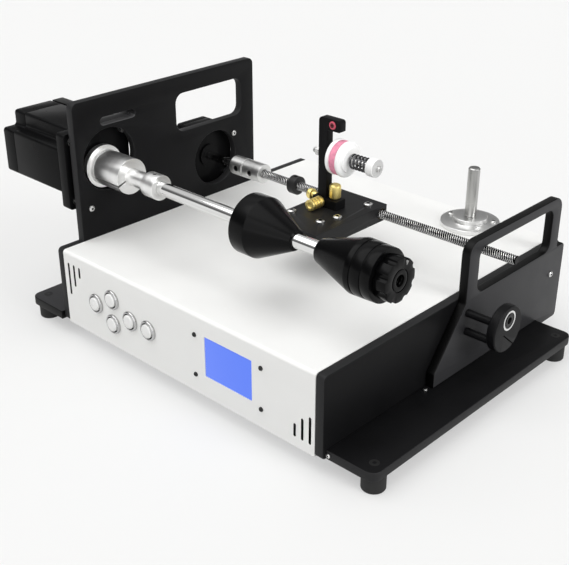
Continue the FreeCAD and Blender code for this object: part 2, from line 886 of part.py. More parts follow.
def display():
    """Display glass and the module that holds it behind the panel."""
    gap = lcd_gap
    glass_rear = sheet + lcd_glass_behind
    glass = box(lcd_x + gap, lcd_x + lcd_width - gap, glass_rear - lcd_glass, glass_rear,
                lcd_z + gap, lcd_z + lcd_height - gap)
    save("lcd_screen", glass)
    y0 = sheet + lcd_gap
    module = box(lcd_x - lcd_board_margin_x, lcd_x + lcd_width + lcd_board_margin_x,
                 y0, y0 + lcd_board_thickness,
                 lcd_z - lcd_board_margin_z, lcd_z + lcd_height + lcd_board_margin_z)
    pocket = box(lcd_x + gap - shank_gap, lcd_x + lcd_width - gap + shank_gap,
                 y0 - past, glass_rear + shank_gap,
                 lcd_z + gap - shank_gap, lcd_z + lcd_height - gap + shank_gap)
    module = module.cut(pocket)
    for x, z in lcd_screw_places():
        module = module.cut(rod_y(0, y0 + 2 * lcd_board_thickness, x, z, screw_radius + shank_gap))
    save("lcd_module", module)


# -------------------------------------------------------------------- inside and rear
def electronics():
    """Control board, power supply and the two motor drivers."""
    z0 = sheet + standoff_height
    board = box(board_x, board_x + board_length_x, board_y, board_y + board_length_y,
                z0, z0 + board_thickness)
    inset = component_inset
    parts_top = z0 + board_thickness + component_height
    chips = box(board_x + inset, board_x + board_length_x - inset,
                board_y + inset, board_y + board_length_y - inset, z0 + board_thickness, parts_top)
    save("control_board", board.fuse(chips).removeSplitter())
    supply = box(supply_x, supply_x + supply_size[0], supply_y, supply_y + supply_size[1],
                 sheet, sheet + supply_size[2])
    save("power_supply", supply)
    drivers = []
    for index in range(2):
        x = driver_x + index * driver_pitch
        drivers.append(box(x, x + driver_size[0], driver_y, driver_y + driver_size[1],
                           sheet, sheet + driver_size[2]))
    save("motor_drivers", *drivers)


def power_entry():
    """Mains inlet and rocker switch in the rear wall."""
    body_front = case_depth - sheet - (inlet_body[1] - sheet)
    body = centred_block(inlet_x, body_front, inlet_z, inlet_body)
    face = centred_block(inlet_x, case_depth, inlet_z, inlet_flange)
    mouth = case_depth + inlet_flange[1]
    cavity = centred_block(inlet_x, mouth - inlet_cavity[1], inlet_z, inlet_cavity)
    inlet = body.fuse(face).cut(cavity)
    for offset_x, offset_z in inlet_pins:
        pin = centred_block(inlet_x + offset_x, mouth - inlet_cavity[1] - inlet_pin_root,
                            inlet_z + offset_z, inlet_pin_size)
        inlet = inlet.fuse(pin)
    frame_front = case_depth - sheet - (rocker_body[1] - sheet)
    frame = centred_block(rocker_x, frame_front, inlet_z, rocker_body)
    frame = frame.fuse(centred_block(rocker_x, case_depth, inlet_z, rocker_frame))
    room_front = case_depth + rocker_frame[1] - rocker_room[1]
    frame = frame.cut(centred_block(rocker_x, room_front, inlet_z,
                                    (rocker_room[0], 2 * rocker_room[1], rocker_room[2])))
    z0 = inlet_z - rocker_height / 2
    pin_low = z0 - rocker_pin_reach
    pin_high = z0 + rocker_height + rocker_pin_reach
    frame = frame.cut(rod_z(pin_low - shank_gap, pin_high + shank_gap, rocker_x, rocker_hinge_y,
                            rocker_pin_radius + running_fit))
    save("power_inlet", inlet.removeSplitter(), frame.removeSplitter())
    middle = case_depth + rocker_frame[1]
    points = [V(rocker_x - rocker_half + rocker_inset, middle - rocker_depth, z0),
              V(rocker_x + rocker_half - rocker_inset, middle - rocker_depth, z0),
              V(rocker_x + rocker_half, middle + rocker_rise, z0), V(rocker_x, middle, z0),
              V(rocker_x - rocker_half, middle + rocker_rise, z0)]
    rocker = Part.Face(Part.makePolygon(points + [points[0]])).extrude(V(0, 0, rocker_height))
    rocker.rotate(V(rocker_x, rocker_hinge_y, z0), Z_AXIS, rocker_tilt)
    pin = rod_z(pin_low, pin_high, rocker_x, rocker_hinge_y, rocker_pin_radius)
    save("power_rocker", rocker.fuse(pin).removeSplitter())


# ----------------------------------------------------------------------------- motors
def square_block(y, z, half, x0, x1, corner):
    """Square bar along X with rounded corners."""
    return side_window(y - half, y + half, z - half, z + half, corner, x0, x1)


def motor(name, spec, y, z, shaft_end):
    """Square-flanged stepper motor with notched stator corners, an end cap and, where the
    spec asks for it, a cable housing."""
    half = spec["size"] / 2
    inner = half - spec["notch"]
    x_flange = motor_face - spec["flange"]
    x_stack = x_flange - spec["stack"]
    x_cap = x_stack - spec["cap"]
    flange = square_block(y, z, half, x_flange, motor_face, motor_corner)
    stack = square_block(y, z, half, x_stack, x_flange, motor_corner)
    cap = square_block(y, z, half, x_cap, x_stack, motor_corner)
    cutters = [box(x_cap - past, x_flange, y - half, y + half, z - half - past, z - spec["underside"])]
    for a in (-1, 1):
        for b in (-1, 1):
            ys = sorted((y + a * inner, y + a * spec["size"]))
            zs = sorted((z + b * inner, z + b * spec["size"]))
            cutters.append(side_window(*ys, *zs, motor_corner, x_cap - past, x_flange))
    seam = x_stack - motor_groove / 2
    ring = square_block(y, z, half + past, seam, seam + motor_groove, motor_corner)
    core = square_block(y, z, half - motor_groove, seam, seam + motor_groove, motor_corner)
    cutters.append(ring.cut(core))
    stack = cut_all(stack, cutters)
    cap = cut_all(cap, cutters)
    shaft_radius = spec["shaft_radius"]
    shaft_room = rod_x(motor_face - spec["shaft_depth"] - past, motor_face + past, y, z,
                       shaft_radius + motor_shaft_clearance)
    flange = flange.cut(shaft_room)
    stack = stack.cut(shaft_room)
    cap = cap.cut(shaft_room)
    for by, bz in bolt_places(spec, y, z):
        flange = flange.cut(rod_x(x_flange - past, motor_face + past, by, bz,
                                  motor_bolt_radius + shank_gap))
    extras = [cable_housing(spec, y, z)] if spec["housing"] else []
    save(name + "_motor", flange, stack, cap, *extras)
    shaft = rod_x(motor_face - spec["shaft_depth"], shaft_end, y, z, shaft_radius)
    save(name + "_motor_shaft", shaft)
    boss = rod_x(motor_face, motor_face + motor_boss, y, z, spec["boss_radius"])
    return boss.cut(rod_x(motor_face - past, past, y, z, shaft_radius + running_fit))


def cable_housing(spec, y, z):
    """Housing of the motor's cables that fills the upper rear notch behind the bolt's head."""
    x_flange = motor_face - spec["flange"]
    half = spec["size"] / 2
    low = half - spec["notch"] + shank_gap
    corners = [(y + low, z + low, motor_corner), (y + half, z + low, 0),
               (y + half, z + half, motor_corner), (y + low, z + half, 0)]
    return side_profile(corners, x_flange - spec["stack"] - spec["cap"], x_flange - motor_housing_gap)


def motor_bolts():
    """Corner bolts from behind each motor flange, with a spacer ring in the gap to the plate."""
    pieces = []
    for spec, (by, bz) in all_motor_bolts():
        length = spec["flange"] + motor_gap + motor_bolt_reach
        pieces.append(button_screw(V(motor_face - spec["flange"], by, bz), X_AXIS * -1,
                                   motor_bolt_radius, length, motor_bolt_head_radius, motor_bolt_head))
        ring = rod_x(motor_face, -plate, by, bz, motor_bolt_head_radius)
        pieces.append(ring.cut(rod_x(motor_face - past, 0, by, bz, motor_bolt_radius + shank_gap)))
    save("motor_bolts", *pieces)


def motors():
    """Both motors, their pilot bosses and their bolts."""
    bosses = [motor("spindle", spindle_motor, spindle_y, spindle_z, spindle_shaft_end),
              motor("traverse", traverse_motor, screw_y, screw_z, traverse_shaft_end)]
    save("motor_bosses", *bosses)
    motor_bolts()


# -------------------------------------------------------------------- winding spindle
def spindle_point(x):
    """Point on the winding shaft's axis."""
    return V(x, spindle_y, spindle_z)


def spindle_hub():
    """Motor hub with a locating ring, a ring groove, a clamp slit and a long neck."""
    edge = fine_edge
    profile = [(hub_ring_start, hub_ring_radius - edge), (hub_ring_start + edge, hub_ring_radius),
               (hub_ring_end, hub_ring_radius), (hub_ring_end, hub_radius),
               (hub_end - hub_front_edge, hub_radius), (hub_end, hub_radius - hub_front_edge),
               (hub_end, neck_radius), (neck_end, neck_radius)]
    hub = turned(profile, spindle_point(0), X_AXIS)
    hub = ring_cut(hub, spindle_point(0), X_AXIS, hub_groove_x, hub_groove_width,
                   hub_radius, hub_groove_depth)
    hub = hub.cut(rod_x(hub_ring_start - past, spindle_shaft_end + past, spindle_y, spindle_z,
                        spindle_motor["shaft_radius"] + running_fit))
    hub = hub.cut(rod_x(rod_start - past, neck_end + past, spindle_y, spindle_z, rod_radius + running_fit))
    slit = box(hub_end - hub_slit_length, hub_end + hub_slit_past,
               spindle_y - hub_radius - past, spindle_y,
               spindle_z - hub_slit / 2, spindle_z + hub_slit / 2)
    slit.rotate(spindle_point(0), X_AXIS, hub_slit_turn)
    slit = slit.cut(rod_x(0, hub_end + past, spindle_y, spindle_z, neck_radius))
    hub = hub.cut(slit)
    for place in hub_set_places:
        hub = hub.cut(set_screw_hole(place, hub_radius, spindle_y, spindle_z))
    save("spindle_hub", hub)


def set_screw_hole(x, radius, y, z):
    """Cross hole down to the axis through (y, z) from the top of a round piece."""
    return rod_z(z, z + radius + past, x, y, set_screw_radius + shank_gap)


def set_screw(x, radius, inner, y, z):
    """Grub screw in its cross hole, from the shaft outwards, just below the surface."""
    top = V(x, y, z + radius - set_screw_sunk)
    foot = V(x, y, z + inner + shank_gap)
    socket = hex_socket(top, Z_AXIS, set_screw_radius * grub_socket_share, set_screw_radius)
    return rod(foot, top, set_screw_radius).cut(socket)


def spindle_pieces():
    """Hub, collar, winding shaft, fixed cone and their grub screws."""
    spindle_hub()
    edge = edge_break
    collar = turned([(collar_start, collar_radius - edge), (collar_start + edge, collar_radius),
                     (collar_end - edge, collar_radius), (collar_end, collar_radius - edge)],
                    spindle_point(0), X_AXIS)
    collar = collar.cut(rod_x(collar_start - past, collar_end + past, spindle_y, spindle_z,
                              rod_radius + running_fit))
    collar_set = (collar_start + collar_end) / 2
    save("spindle_collar", collar.cut(set_screw_hole(collar_set, collar_radius, spindle_y, spindle_z)))
    shaft = turned([(rod_start, rod_radius - rod_chamfer), (rod_start + rod_chamfer, rod_radius),
                    (rod_step, rod_radius), (rod_step, rod_end_radius),
                    (rod_end - rod_chamfer, rod_end_radius), (rod_end, rod_end_radius - rod_chamfer)],
                   spindle_point(0), X_AXIS)
    save("winding_shaft", shaft)
    cone_left_set = cone_left_start + cone_band / 2
    cone = turned([(cone_left_start, cone_big_radius - broad_edge),
                   (cone_left_start + broad_edge, cone_big_radius),
                   (cone_left_start + cone_band, cone_big_radius),
                   (cone_left_end, cone_small_radius)], spindle_point(0), X_AXIS)
    cone = cone.cut(rod_x(cone_left_start - past, cone_left_end + past, spindle_y, spindle_z,
                          rod_radius + running_fit))
    save("cone_left", cone.cut(set_screw_hole(cone_left_set, cone_big_radius, spindle_y, spindle_z)))
    screws = [set_screw(hub_set_places[0], hub_radius, spindle_motor["shaft_radius"], spindle_y, spindle_z),
              set_screw(hub_set_places[1], hub_radius, rod_radius, spindle_y, spindle_z),
              set_screw(collar_set, collar_radius, rod_radius, spindle_y, spindle_z),
              set_screw(cone_left_set, cone_big_radius, rod_radius, spindle_y, spindle_z)]
    save("spindle_set_screws", *screws)


def cone_right():
    """Sliding cone with two grip grooves and a slit collet tail inside the star knob.  Its
    bore steps down behind the shaft's shoulder, with room for the cone's whole travel."""
    tail_end = cone_right_end + knob_gap + collet_slit_length
    profile = [(cone_right_start, cone_tip_radius),
               (cone_right_start + cone_right_rim, cone_tip_radius + cone_right_rim),
               (cone_right_shoulder, cone_right_shoulder_radius),
               (cone_right_end - broad_edge, cone_right_end_radius),
               (cone_right_end, cone_right_end_radius - broad_edge),
               (cone_right_end, collet_radius), (tail_end, collet_radius - broad_edge)]
    cone = turned(profile, spindle_point(0), X_AXIS)
    for place in cone_grooves:
        cone = ring_cut(cone, spindle_point(0), X_AXIS, place, cone_groove_width,
                        cone_right_shoulder_radius, cone_groove_depth)
    cone = cone.cut(rod_x(cone_right_start - past, cone_step, spindle_y, spindle_z,
                          rod_radius + running_fit))
    cone = cone.cut(rod_x(cone_right_start - past, tail_end + past, spindle_y, spindle_z,
                          rod_end_radius + running_fit))
    half = collet_slit / 2
    slit_start = cone_right_end + knob_gap + collet_slit_start
    for flat in (box(slit_start, tail_end + past, spindle_y - half, spindle_y + half,
                     spindle_z - 2 * collet_radius, spindle_z + 2 * collet_radius),
                 box(slit_start, tail_end + past, spindle_y - 2 * collet_radius,
                     spindle_y + 2 * collet_radius, spindle_z - half, spindle_z + half)):
        cone = cone.cut(flat)
    save("cone_right", cone)


def star_knob():
    """Notched clamping knob: turning it closes the cone's collet on the shaft."""
    start = cone_right_end + knob_gap
    end = start + knob_length
    body = turned([(start, knob_radius - knob_edge), (start + knob_edge, knob_radius),
                   (end - knob_edge, knob_radius), (end, knob_radius - knob_edge)],
                  spindle_point(0), X_AXIS)
    for index in range(knob_notches):
        angle = 2 * math.pi * (index + 0.5) / knob_notches
        y = spindle_y + knob_notch_circle * math.cos(angle)
        z = spindle_z + knob_notch_circle * math.sin(angle)
        body = body.cut(rod_x(start - past, end + past, y, z, knob_notch_radius))
    body = ring_groove(body, end, knob_ring_radius)
    body = body.cut(rod_x(end - knob_wall - past, end + past, spindle_y, spindle_z, knob_hole_radius))
    body = body.cut(rod_x(start - past, end - knob_wall, spindle_y, spindle_z,
                          collet_radius + collet_room))
    save("star_knob", body.removeSplitter())


def ring_groove(body, face_x, radius):
    """Shallow round groove in a face across X."""
    groove = rod_x(face_x - knob_ring_groove, face_x + past, spindle_y, spindle_z, radius)
    core = rod_x(face_x - 2 * knob_ring_groove, face_x + 2, spindle_y, spindle_z,
                 radius - knob_ring_groove)
    return body.cut(groove.cut(core))


# --------------------------------------------------------------------------- traverse
def screw_point(x):
    """Point on the lead screw's axis."""
    return V(x, screw_y, screw_z)


def traverse_pieces():
    """Coupling, lead screw, stop collar and their grub screws."""
    edge = edge_break
    coupling = turned([(coupling_start, coupling_radius - edge), (coupling_start + edge, coupling_radius),
                       (coupling_end - edge, coupling_radius), (coupling_end, coupling_radius - edge)],
                      screw_point(0), X_AXIS)
    coupling = ring_cut(coupling, screw_point(0), X_AXIS, coupling_groove_x, coupling_groove_width,
                        coupling_radius, coupling_groove_depth)
    coupling = coupling.cut(rod_x(coupling_start - past, coupling_end + past, screw_y, screw_z,
                                  lead_radius + running_fit))
    for place in coupling_set_places:
        coupling = coupling.cut(front_set_hole(place, coupling_radius))
    save("shaft_coupling", coupling)
    lead = turned([(lead_start, lead_radius - lead_chamfer), (lead_start + lead_chamfer, lead_radius),
                   (lead_end - lead_chamfer, lead_radius), (lead_end, lead_radius - lead_chamfer)],
                  screw_point(0), X_AXIS)
    save("lead_screw", lead)
    edge = fine_edge
    collar = turned([(stop_collar_start, stop_collar_radius - edge),
                     (stop_collar_start + edge, stop_collar_radius),
                     (stop_collar_end - edge, stop_collar_radius),
                     (stop_collar_end, stop_collar_radius - edge)], screw_point(0), X_AXIS)
    collar = collar.cut(rod_x(stop_collar_start - past, stop_collar_end + past, screw_y, screw_z,
                              lead_radius + running_fit))
    collar_set = (stop_collar_start + stop_collar_end) / 2
    save("screw_collar", collar.cut(set_screw_hole(collar_set, stop_collar_radius, screw_y, screw_z)))
    screws = [front_set_screw(place, coupling_radius, lead_radius) for place in coupling_set_places]
    screws.append(set_screw(collar_set, stop_collar_radius, lead_radius, screw_y, screw_z))
    save("lead_set_screws", *screws)


def front_set_hole(x, radius):
    """Cross hole to the lead screw's axis from the front."""
    return rod_y(screw_y - radius - past, screw_y, x, screw_z, coupling_set_radius + shank_gap)


def front_set_screw(x, radius, inner):
    """Grub screw in the coupling's front cross hole."""
    face = V(x, screw_y - radius + set_screw_sunk, screw_z)
    foot = V(x, screw_y - inner - shank_gap, screw_z)
    socket = hex_socket(face, Y_AXIS * -1, coupling_set_radius * grub_socket_share, coupling_set_radius)
    return rod(foot, face, coupling_set_radius).cut(socket)


def carriage_screw_spots():
    """The carriage block's screws with their lengths; the last one presses on the lead nut."""
    spots = [(right, back, carriage_screw_length) for right, back in carriage_screw_places]
    spots.append(nut_screw_place + (nut_screw_length,))
    return [(block_x + right, block_front + back, length) for right, back, length in spots]


def glide_spots():
    """The glide posts under the carriage block."""
    return [(block_x + right, block_front + back) for right, back in glide_places]


def carriage():
    """Carriage block with its nut, glide posts and screws."""
    z0 = block_top - block_thickness
    block = box(block_x, block_x + block_width, block_front, block_front + block_depth, z0, block_top)
    edges = [edge for edge in block.Edges if abs(edge.tangentAt(edge.FirstParameter).z) > 0.99]
    block = block.makeFillet(block_corner, edges)
    block_end = block_x + block_width
    nut_end = block_end - nut_recess
    nut_start = nut_end - nut_length
    block = block.cut(rod_x(block_x - past, nut_start + past, screw_y, screw_z,
                            lead_radius + lead_bore_gap))
    block = block.cut(rod_x(nut_start, block_end + past, screw_y, screw_z, nut_radius + shank_gap))
    for x, y, length in carriage_screw_spots():
        block = block.cut(rod_z(block_top - length - shank_gap, block_top + past, x, y,
                                carriage_screw_radius + shank_gap))
    block = block.cut(rod_z(block_top - thumb_seat - shank_gap, block_top + past, thumb_top_x, thumb_y(),
                            thumb_shank_radius + shank_gap))
    save("carriage_block", block)
    nut = rod_x(nut_start, nut_end, screw_y, screw_z, nut_radius)
    save("lead_nut", nut.cut(rod_x(nut_start - past, nut_end + past, screw_y, screw_z,
                                   lead_radius + thread_fit)))
    glides = []
    for x, y in glide_spots():
        foot = case_height + glide_gap
        post = turned([(foot, glide_radius - broad_edge), (foot + broad_edge, glide_radius),
                       (z0, glide_radius)], V(x, y, 0), Z_AXIS)
        glides.append(post)
    save("carriage_glides", *glides)
    screws = []
    for x, y, length in carriage_screw_spots():
        screws.append(button_screw(V(x, y, block_top), Z_AXIS, carriage_screw_radius,
                                   length, carriage_screw_head_radius, carriage_screw_head))
    save("carriage_screws", *screws)


def thumb_y():
    """Middle of the guide foot's depth, where the top thumbscrew goes down."""
    return bar_front + bar_thickness / 2


def guide():
    """Foot on the carriage, and the upright bar that stands in its slot."""
    foot_top = block_top + guide_height
    foot = box(guide_x, guide_x + guide_width, guide_front, guide_front + guide_depth,
               block_top, foot_top)
    gap = bar_slot_gap
    foot = foot.cut(box(bar_x - gap, bar_x + bar_stem + gap, bar_front - gap,
                        bar_front + bar_thickness + gap, block_top, foot_top + 1))
    z = block_top + thumb_mid_z
    foot = foot.cut(rod_y(guide_front - past, bar_front, thumb_front_x, z,
                          thumb_shank_radius + running_fit))
    foot = foot.cut(rod_x(guide_x - past, bar_x, thumb_y(), z, thumb_shank_radius + running_fit))
    foot = foot.cut(rod_z(block_top - past, foot_top + past, thumb_top_x, thumb_y(),
                          thumb_shank_radius + running_fit))
    save("guide_foot", foot)
    z0 = block_top + bar_lift
    hook_z = bar_top - hook_height
    outline = [(V(bar_x, bar_front, z0), 0), (V(bar_x + bar_stem, bar_front, z0), 0),
               (V(bar_x + bar_stem, bar_front, hook_z), hook_inner_corner),
               (V(bar_x + bar_head, bar_front, hook_z), hook_low_corner),
               (V(bar_x + bar_head, bar_front, bar_top), hook_top_corner),
               (V(bar_x, bar_front, bar_top), bar_corner)]
    bar = Part.Face(rounded_wire(outline)).extrude(V(0, bar_thickness, 0))
    eyelet_x = bar_x + eyelet_from_left
    eyelet_z = bar_top - eyelet_drop
    bar = bar.cut(rod_y(bar_front - past, bar_front + bar_thickness + past, eyelet_x, eyelet_z,
                        eyelet_radius + shank_gap))
    bar = bar.cut(rod_x(bar_x - past, bar_x + bar_stem + past, thumb_y(), tension_z,
                        tension_bolt_radius + shank_gap))
    save("guide_bar", bar)
    eyelet = rod_y(bar_front - eyelet_proud, bar_front + bar_thickness + eyelet_proud,
                   eyelet_x, eyelet_z, eyelet_radius)
    save("wire_eyelet", eyelet.cut(rod_y(bar_front - past, bar_front + bar_thickness + past,
                                         eyelet_x, eyelet_z, eyelet_hole_radius)))


def tension_x():
    """End of the bolt's shoulder, where the tensioner's stack starts."""
    return bar_x + bar_stem + tension_sleeve


def tensioner():
    """Bolt, discs, felt, spring and knob that brake the wire."""
    y = thumb_y()
    z = tension_z
    first = tension_x() + disc_gap
    felt_x = first + disc_thickness
    second = felt_x + felt_thickness
    washer_x = second + disc_thickness
    spring_x = washer_x + washer_thickness + disc_gap
    knob_x = spring_x + spring_length + disc_gap
    knob_end = knob_x + tension_knob_length
    bolt_end = knob_end + tension_bolt_proud
    start = bar_x - tension_bolt_tail
    bolt = rod_x(start, bolt_end, y, z, tension_bolt_radius)
    nut = hex_prism(V(bar_x - tension_bolt_nut, y, z), X_AXIS, tension_bolt_nut_radius, tension_bolt_nut)
    sleeve = rod_x(bar_x + bar_stem, tension_x(), y, z, tension_sleeve_radius)
    save("tension_bolt", bolt.fuse(nut).fuse(sleeve).removeSplitter())
    bore = tension_bolt_radius + disc_hub_play
    discs = []
    edge = broad_edge
    for x in (first, second):
        disc = turned([(x, disc_radius - edge), (x + edge, disc_radius),
                       (x + disc_thickness - edge, disc_radius), (x + disc_thickness, disc_radius - edge)],
                      V(0, y, z), X_AXIS)
        discs.append(disc.cut(rod_x(x - past, x + disc_thickness + past, y, z, bore)))
    washer = rod_x(washer_x, washer_x + washer_thickness, y, z, washer_radius)
    discs.append(washer.cut(rod_x(washer_x - past, spring_x, y, z, bore)))
    save("tension_discs", *discs)
    felt = rod_x(felt_x, felt_x + felt_thickness, y, z, felt_radius)
    save("tension_felt", felt.cut(rod_x(felt_x - past, second + past, y, z, bore)))
    save("tension_spring", coil_spring(V(spring_x, y, z), spring_radius, spring_wire,
                                       spring_length, spring_turns))
    edge = edge_break
    knob = turned([(knob_x, tension_knob_radius - edge), (knob_x + edge, tension_knob_radius),
                   (knob_end - edge, tension_knob_radius), (knob_end, tension_knob_radius - edge)],
                  V(0, y, z), X_AXIS)
    save("tension_knob", knob.cut(rod_x(knob_x - past, knob_end + past, y, z,
                                        tension_bolt_radius + running_fit)))


def hex_prism(start, axis, corner, length):
    """Hexagonal nut body."""
    points = []
    for step in range(6):
        angle = math.pi / 3 * step
        points.append(start + Y_AXIS * (corner * math.cos(angle)) + Z_AXIS * (corner * math.sin(angle)))
    return Part.Face(Part.makePolygon(points + [points[0]])).extrude(axis * length)


def coil_spring(start, radius, wire, length, turns):
    """Open compression spring along X, its wire's middle on a helix."""
    run = length - 2 * wire
    helix = Part.makeHelix(run / turns, run, radius - wire)
    profile = Part.Wire(Part.makeCircle(wire, V(radius - wire, 0, 0), Y_AXIS))
    coil = Part.Wire(helix.Edges).makePipeShell([profile], True, True)
    coil.rotate(V(0, 0, 0), Y_AXIS, 90)
    coil.translate(start + X_AXIS * wire)
    return coil


def thumbscrews():
    """Three brass thumbscrews that clamp the guide foot and the bar in it."""
    z = block_top + thumb_mid_z
    y = thumb_y()
    reach = thumb_reach_gap
    front = thumbscrew(V(thumb_front_x, guide_front - thumb_neck, z), Y_AXIS * -1, thumb_radius,
                       thumb_length, thumb_neck, bar_front - guide_front - reach, thumb_grooves)
    save("thumbscrew_front", front)
    side = thumbscrew(V(guide_x - thumb_side_neck, y, z), X_AXIS * -1, thumb_side_radius,
                      thumb_side_length, thumb_side_neck, bar_x - guide_x - reach, ())
    save("thumbscrew_side", side)
    top = thumbscrew(V(thumb_top_x, y, block_top + guide_height + thumb_neck), Z_AXIS,
                     thumb_top_radius, thumb_top_length, thumb_neck, guide_height + thumb_seat, ())
    save("thumbscrew_top", top)


def thumbscrew(seat, axis, radius, length, neck, shank, grooves):
    """Round head, grooved at the given shares of its length, on a collar and a shank; seat is
    under the head, axis points out of it."""
    rim = edge_break
    head = turned([(0, radius - rim), (rim, radius), (length - rim, radius), (length, radius - rim)],
                  seat, axis)
    for share in grooves:
        head = ring_cut(head, seat, axis, length * share - thumb_groove, thumb_groove,
                        radius, thumb_groove_depth)
    dimple = Part.makeCylinder(radius * thumb_dimple_share, thumb_groove,
                               seat + axis * (length - thumb_groove), axis)
    collar_length = neck - seat_gap
    collar = Part.makeCylinder(radius * thumb_collar_share, collar_length,
                               seat - axis * collar_length, axis)
    run = neck + shank
    stem = Part.makeCylinder(thumb_shank_radius, run, seat - axis * run, axis)
    return head.cut(dimple).fuse(collar).fuse(stem).removeSplitter()


# -------------------------------------------------------------- spool post, side disc
def spool_post():
    """Flanged boss on the case top with the pin for a supply spool."""
    base = V(post_x, post_y, case_height)
    edge = edge_break
    root = post_flange + post_boss
    shoulder = root + seat_gap
    flange = turned([(0, post_flange_radius), (post_flange - edge, post_flange_radius),
                     (post_flange, post_flange_radius - edge), (post_flange, post_boss_radius),
                     (root - edge, post_boss_radius), (root, post_boss_radius - edge)], base, Z_AXIS)
    flange = flange.cut(rod_z(case_height - past, case_height + post_height, post_x, post_y,
                              post_root_radius + shank_gap))
    for x, y in post_screw_places():
        flange = flange.cut(rod_z(case_height - past, case_height + post_height, x, y,
                                  screw_radius + shank_gap))
    pin = turned([(0, post_root_radius), (shoulder, post_root_radius), (shoulder, post_radius),
                  (post_height - post_chamfer, post_radius),
                  (post_height, post_radius - post_chamfer)], base, Z_AXIS)
    save("spool_post", flange, pin)


def side_disc():
    """Round bearing carrier held off the handle plate by two rods."""
    x0 = handle_outer + disc_stand_off
    x1 = x0 + side_disc_thickness
    edge = edge_break
    disc = turned([(x0, side_disc_radius - edge), (x0 + edge, side_disc_radius),
                   (x1 - edge, side_disc_radius), (x1, side_disc_radius - edge)],
                  V(0, side_disc_y, side_disc_z), X_AXIS)
    disc = disc.cut(rod_x(x1 - bearing_width, x1 + past, bearing_y, bearing_z, bearing_radius + shank_gap))
    disc = disc.cut(rod_x(x0 - past, x1 + past, bearing_y, bearing_z, bearing_radius - bearing_race))
    slit_y = side_disc_y + side_disc_slit_start[0]
    slit_z = side_disc_z + side_disc_slit_start[1]
    slit = box(x0 - past, x1 + past, slit_y, slit_y + 2 * side_disc_radius,
               slit_z - side_disc_slit / 2, slit_z + side_disc_slit / 2)
    slit.rotate(V(0, slit_y, slit_z), X_AXIS, side_disc_slit_turn)
    disc = disc.cut(slit)
    rods = []
    for y, z, radius in (upper_rod, lower_rod):
        disc = disc.cut(rod_x(x0 - past, x0 + rod_disc_seat + shank_gap, y, z, radius + shank_gap))
        rods.append(rod_x(handle_outer - rod_seat, x0 + rod_disc_seat, y, z, radius))
    save("bearing_disc", disc)
    save("bearing_disc_rods", *rods)
    start = x1 - bearing_width
    ring = rod_x(start, x1, bearing_y, bearing_z, bearing_radius)
    ring = ring.cut(rod_x(start - past, x1 + past, bearing_y, bearing_z, bearing_radius - bearing_race))
    save("side_bearing_ring", ring)
    inner = rod_x(start + bearing_inner_end, x1, bearing_y, bearing_z,
                  bearing_radius - bearing_race - running_fit)
    seal = rod_x(x1 - bearing_seal_depth, x1 + past, bearing_y, bearing_z, bearing_radius)
    seal = seal.cut(rod_x(x0, x1 + 2 * past, bearing_y, bearing_z, bearing_inner_radius))
    inner = inner.cut(seal).cut(rod_x(start - past, x1 + past, bearing_y, bearing_z, bearing_bore_radius))
    save("side_bearing_hub", inner)


def main():
    """Write every node."""
    os.makedirs("parts", exist_ok=True)
    case_cover()
    bottom_pan()
    left_side_plate()
    right_side_plate()
    right_handle_plate()
    foot_flanges()
    rubber_feet()
    black_screws()
    plate_screws()
    push_buttons()
    display()
    electronics()
    power_entry()
    motors()
    spindle_pieces()
    cone_right()
    star_knob()
    traverse_pieces()
    carriage()
    guide()
    tensioner()
    thumbscrews()
    spool_post()
    side_disc()


main()
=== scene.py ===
import json
import math

import bmesh
import bpy
import numpy as np
from mathutils import Matrix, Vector
from mathutils.geometry import tessellate_polygon

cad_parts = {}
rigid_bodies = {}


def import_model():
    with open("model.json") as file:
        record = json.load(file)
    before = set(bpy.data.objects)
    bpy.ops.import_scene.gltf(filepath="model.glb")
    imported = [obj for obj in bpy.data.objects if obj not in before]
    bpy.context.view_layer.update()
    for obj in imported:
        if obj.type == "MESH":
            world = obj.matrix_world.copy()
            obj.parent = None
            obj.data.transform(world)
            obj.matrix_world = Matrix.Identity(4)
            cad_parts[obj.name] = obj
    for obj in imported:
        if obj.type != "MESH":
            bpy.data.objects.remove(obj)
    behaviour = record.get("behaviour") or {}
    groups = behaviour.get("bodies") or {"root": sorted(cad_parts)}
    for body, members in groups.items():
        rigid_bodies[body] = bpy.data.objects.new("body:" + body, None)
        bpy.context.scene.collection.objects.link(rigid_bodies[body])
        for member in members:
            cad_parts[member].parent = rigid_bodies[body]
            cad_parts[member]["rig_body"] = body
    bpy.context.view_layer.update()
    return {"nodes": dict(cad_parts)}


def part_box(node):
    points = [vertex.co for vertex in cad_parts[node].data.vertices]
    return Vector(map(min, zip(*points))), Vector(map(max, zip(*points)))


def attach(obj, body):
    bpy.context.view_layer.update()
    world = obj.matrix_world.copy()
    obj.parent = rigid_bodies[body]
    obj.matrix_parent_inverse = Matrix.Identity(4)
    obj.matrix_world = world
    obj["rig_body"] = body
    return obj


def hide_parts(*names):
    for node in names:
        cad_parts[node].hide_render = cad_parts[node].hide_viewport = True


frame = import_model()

# ------------------------------------------------------------------ camera and studio
# The machine stands on a plain pale floor. One broad soft lamp above gives most of the
# light, weaker ones stand in front and on the right, and the sky is pale at the horizon
# and high up. All lengths below are millimetres from the case's lower front left corner.
corner = np.array(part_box("case_cover")[0])
X, Y, Z = np.eye(3)
scene = bpy.context.scene
scene.view_settings.view_transform = "Standard"


def place(points):
    """Points in millimetres from the case's corner as points in metres of the common frame:
    corner + points / 1000."""
    return corner + np.asarray(points, float) / 1000


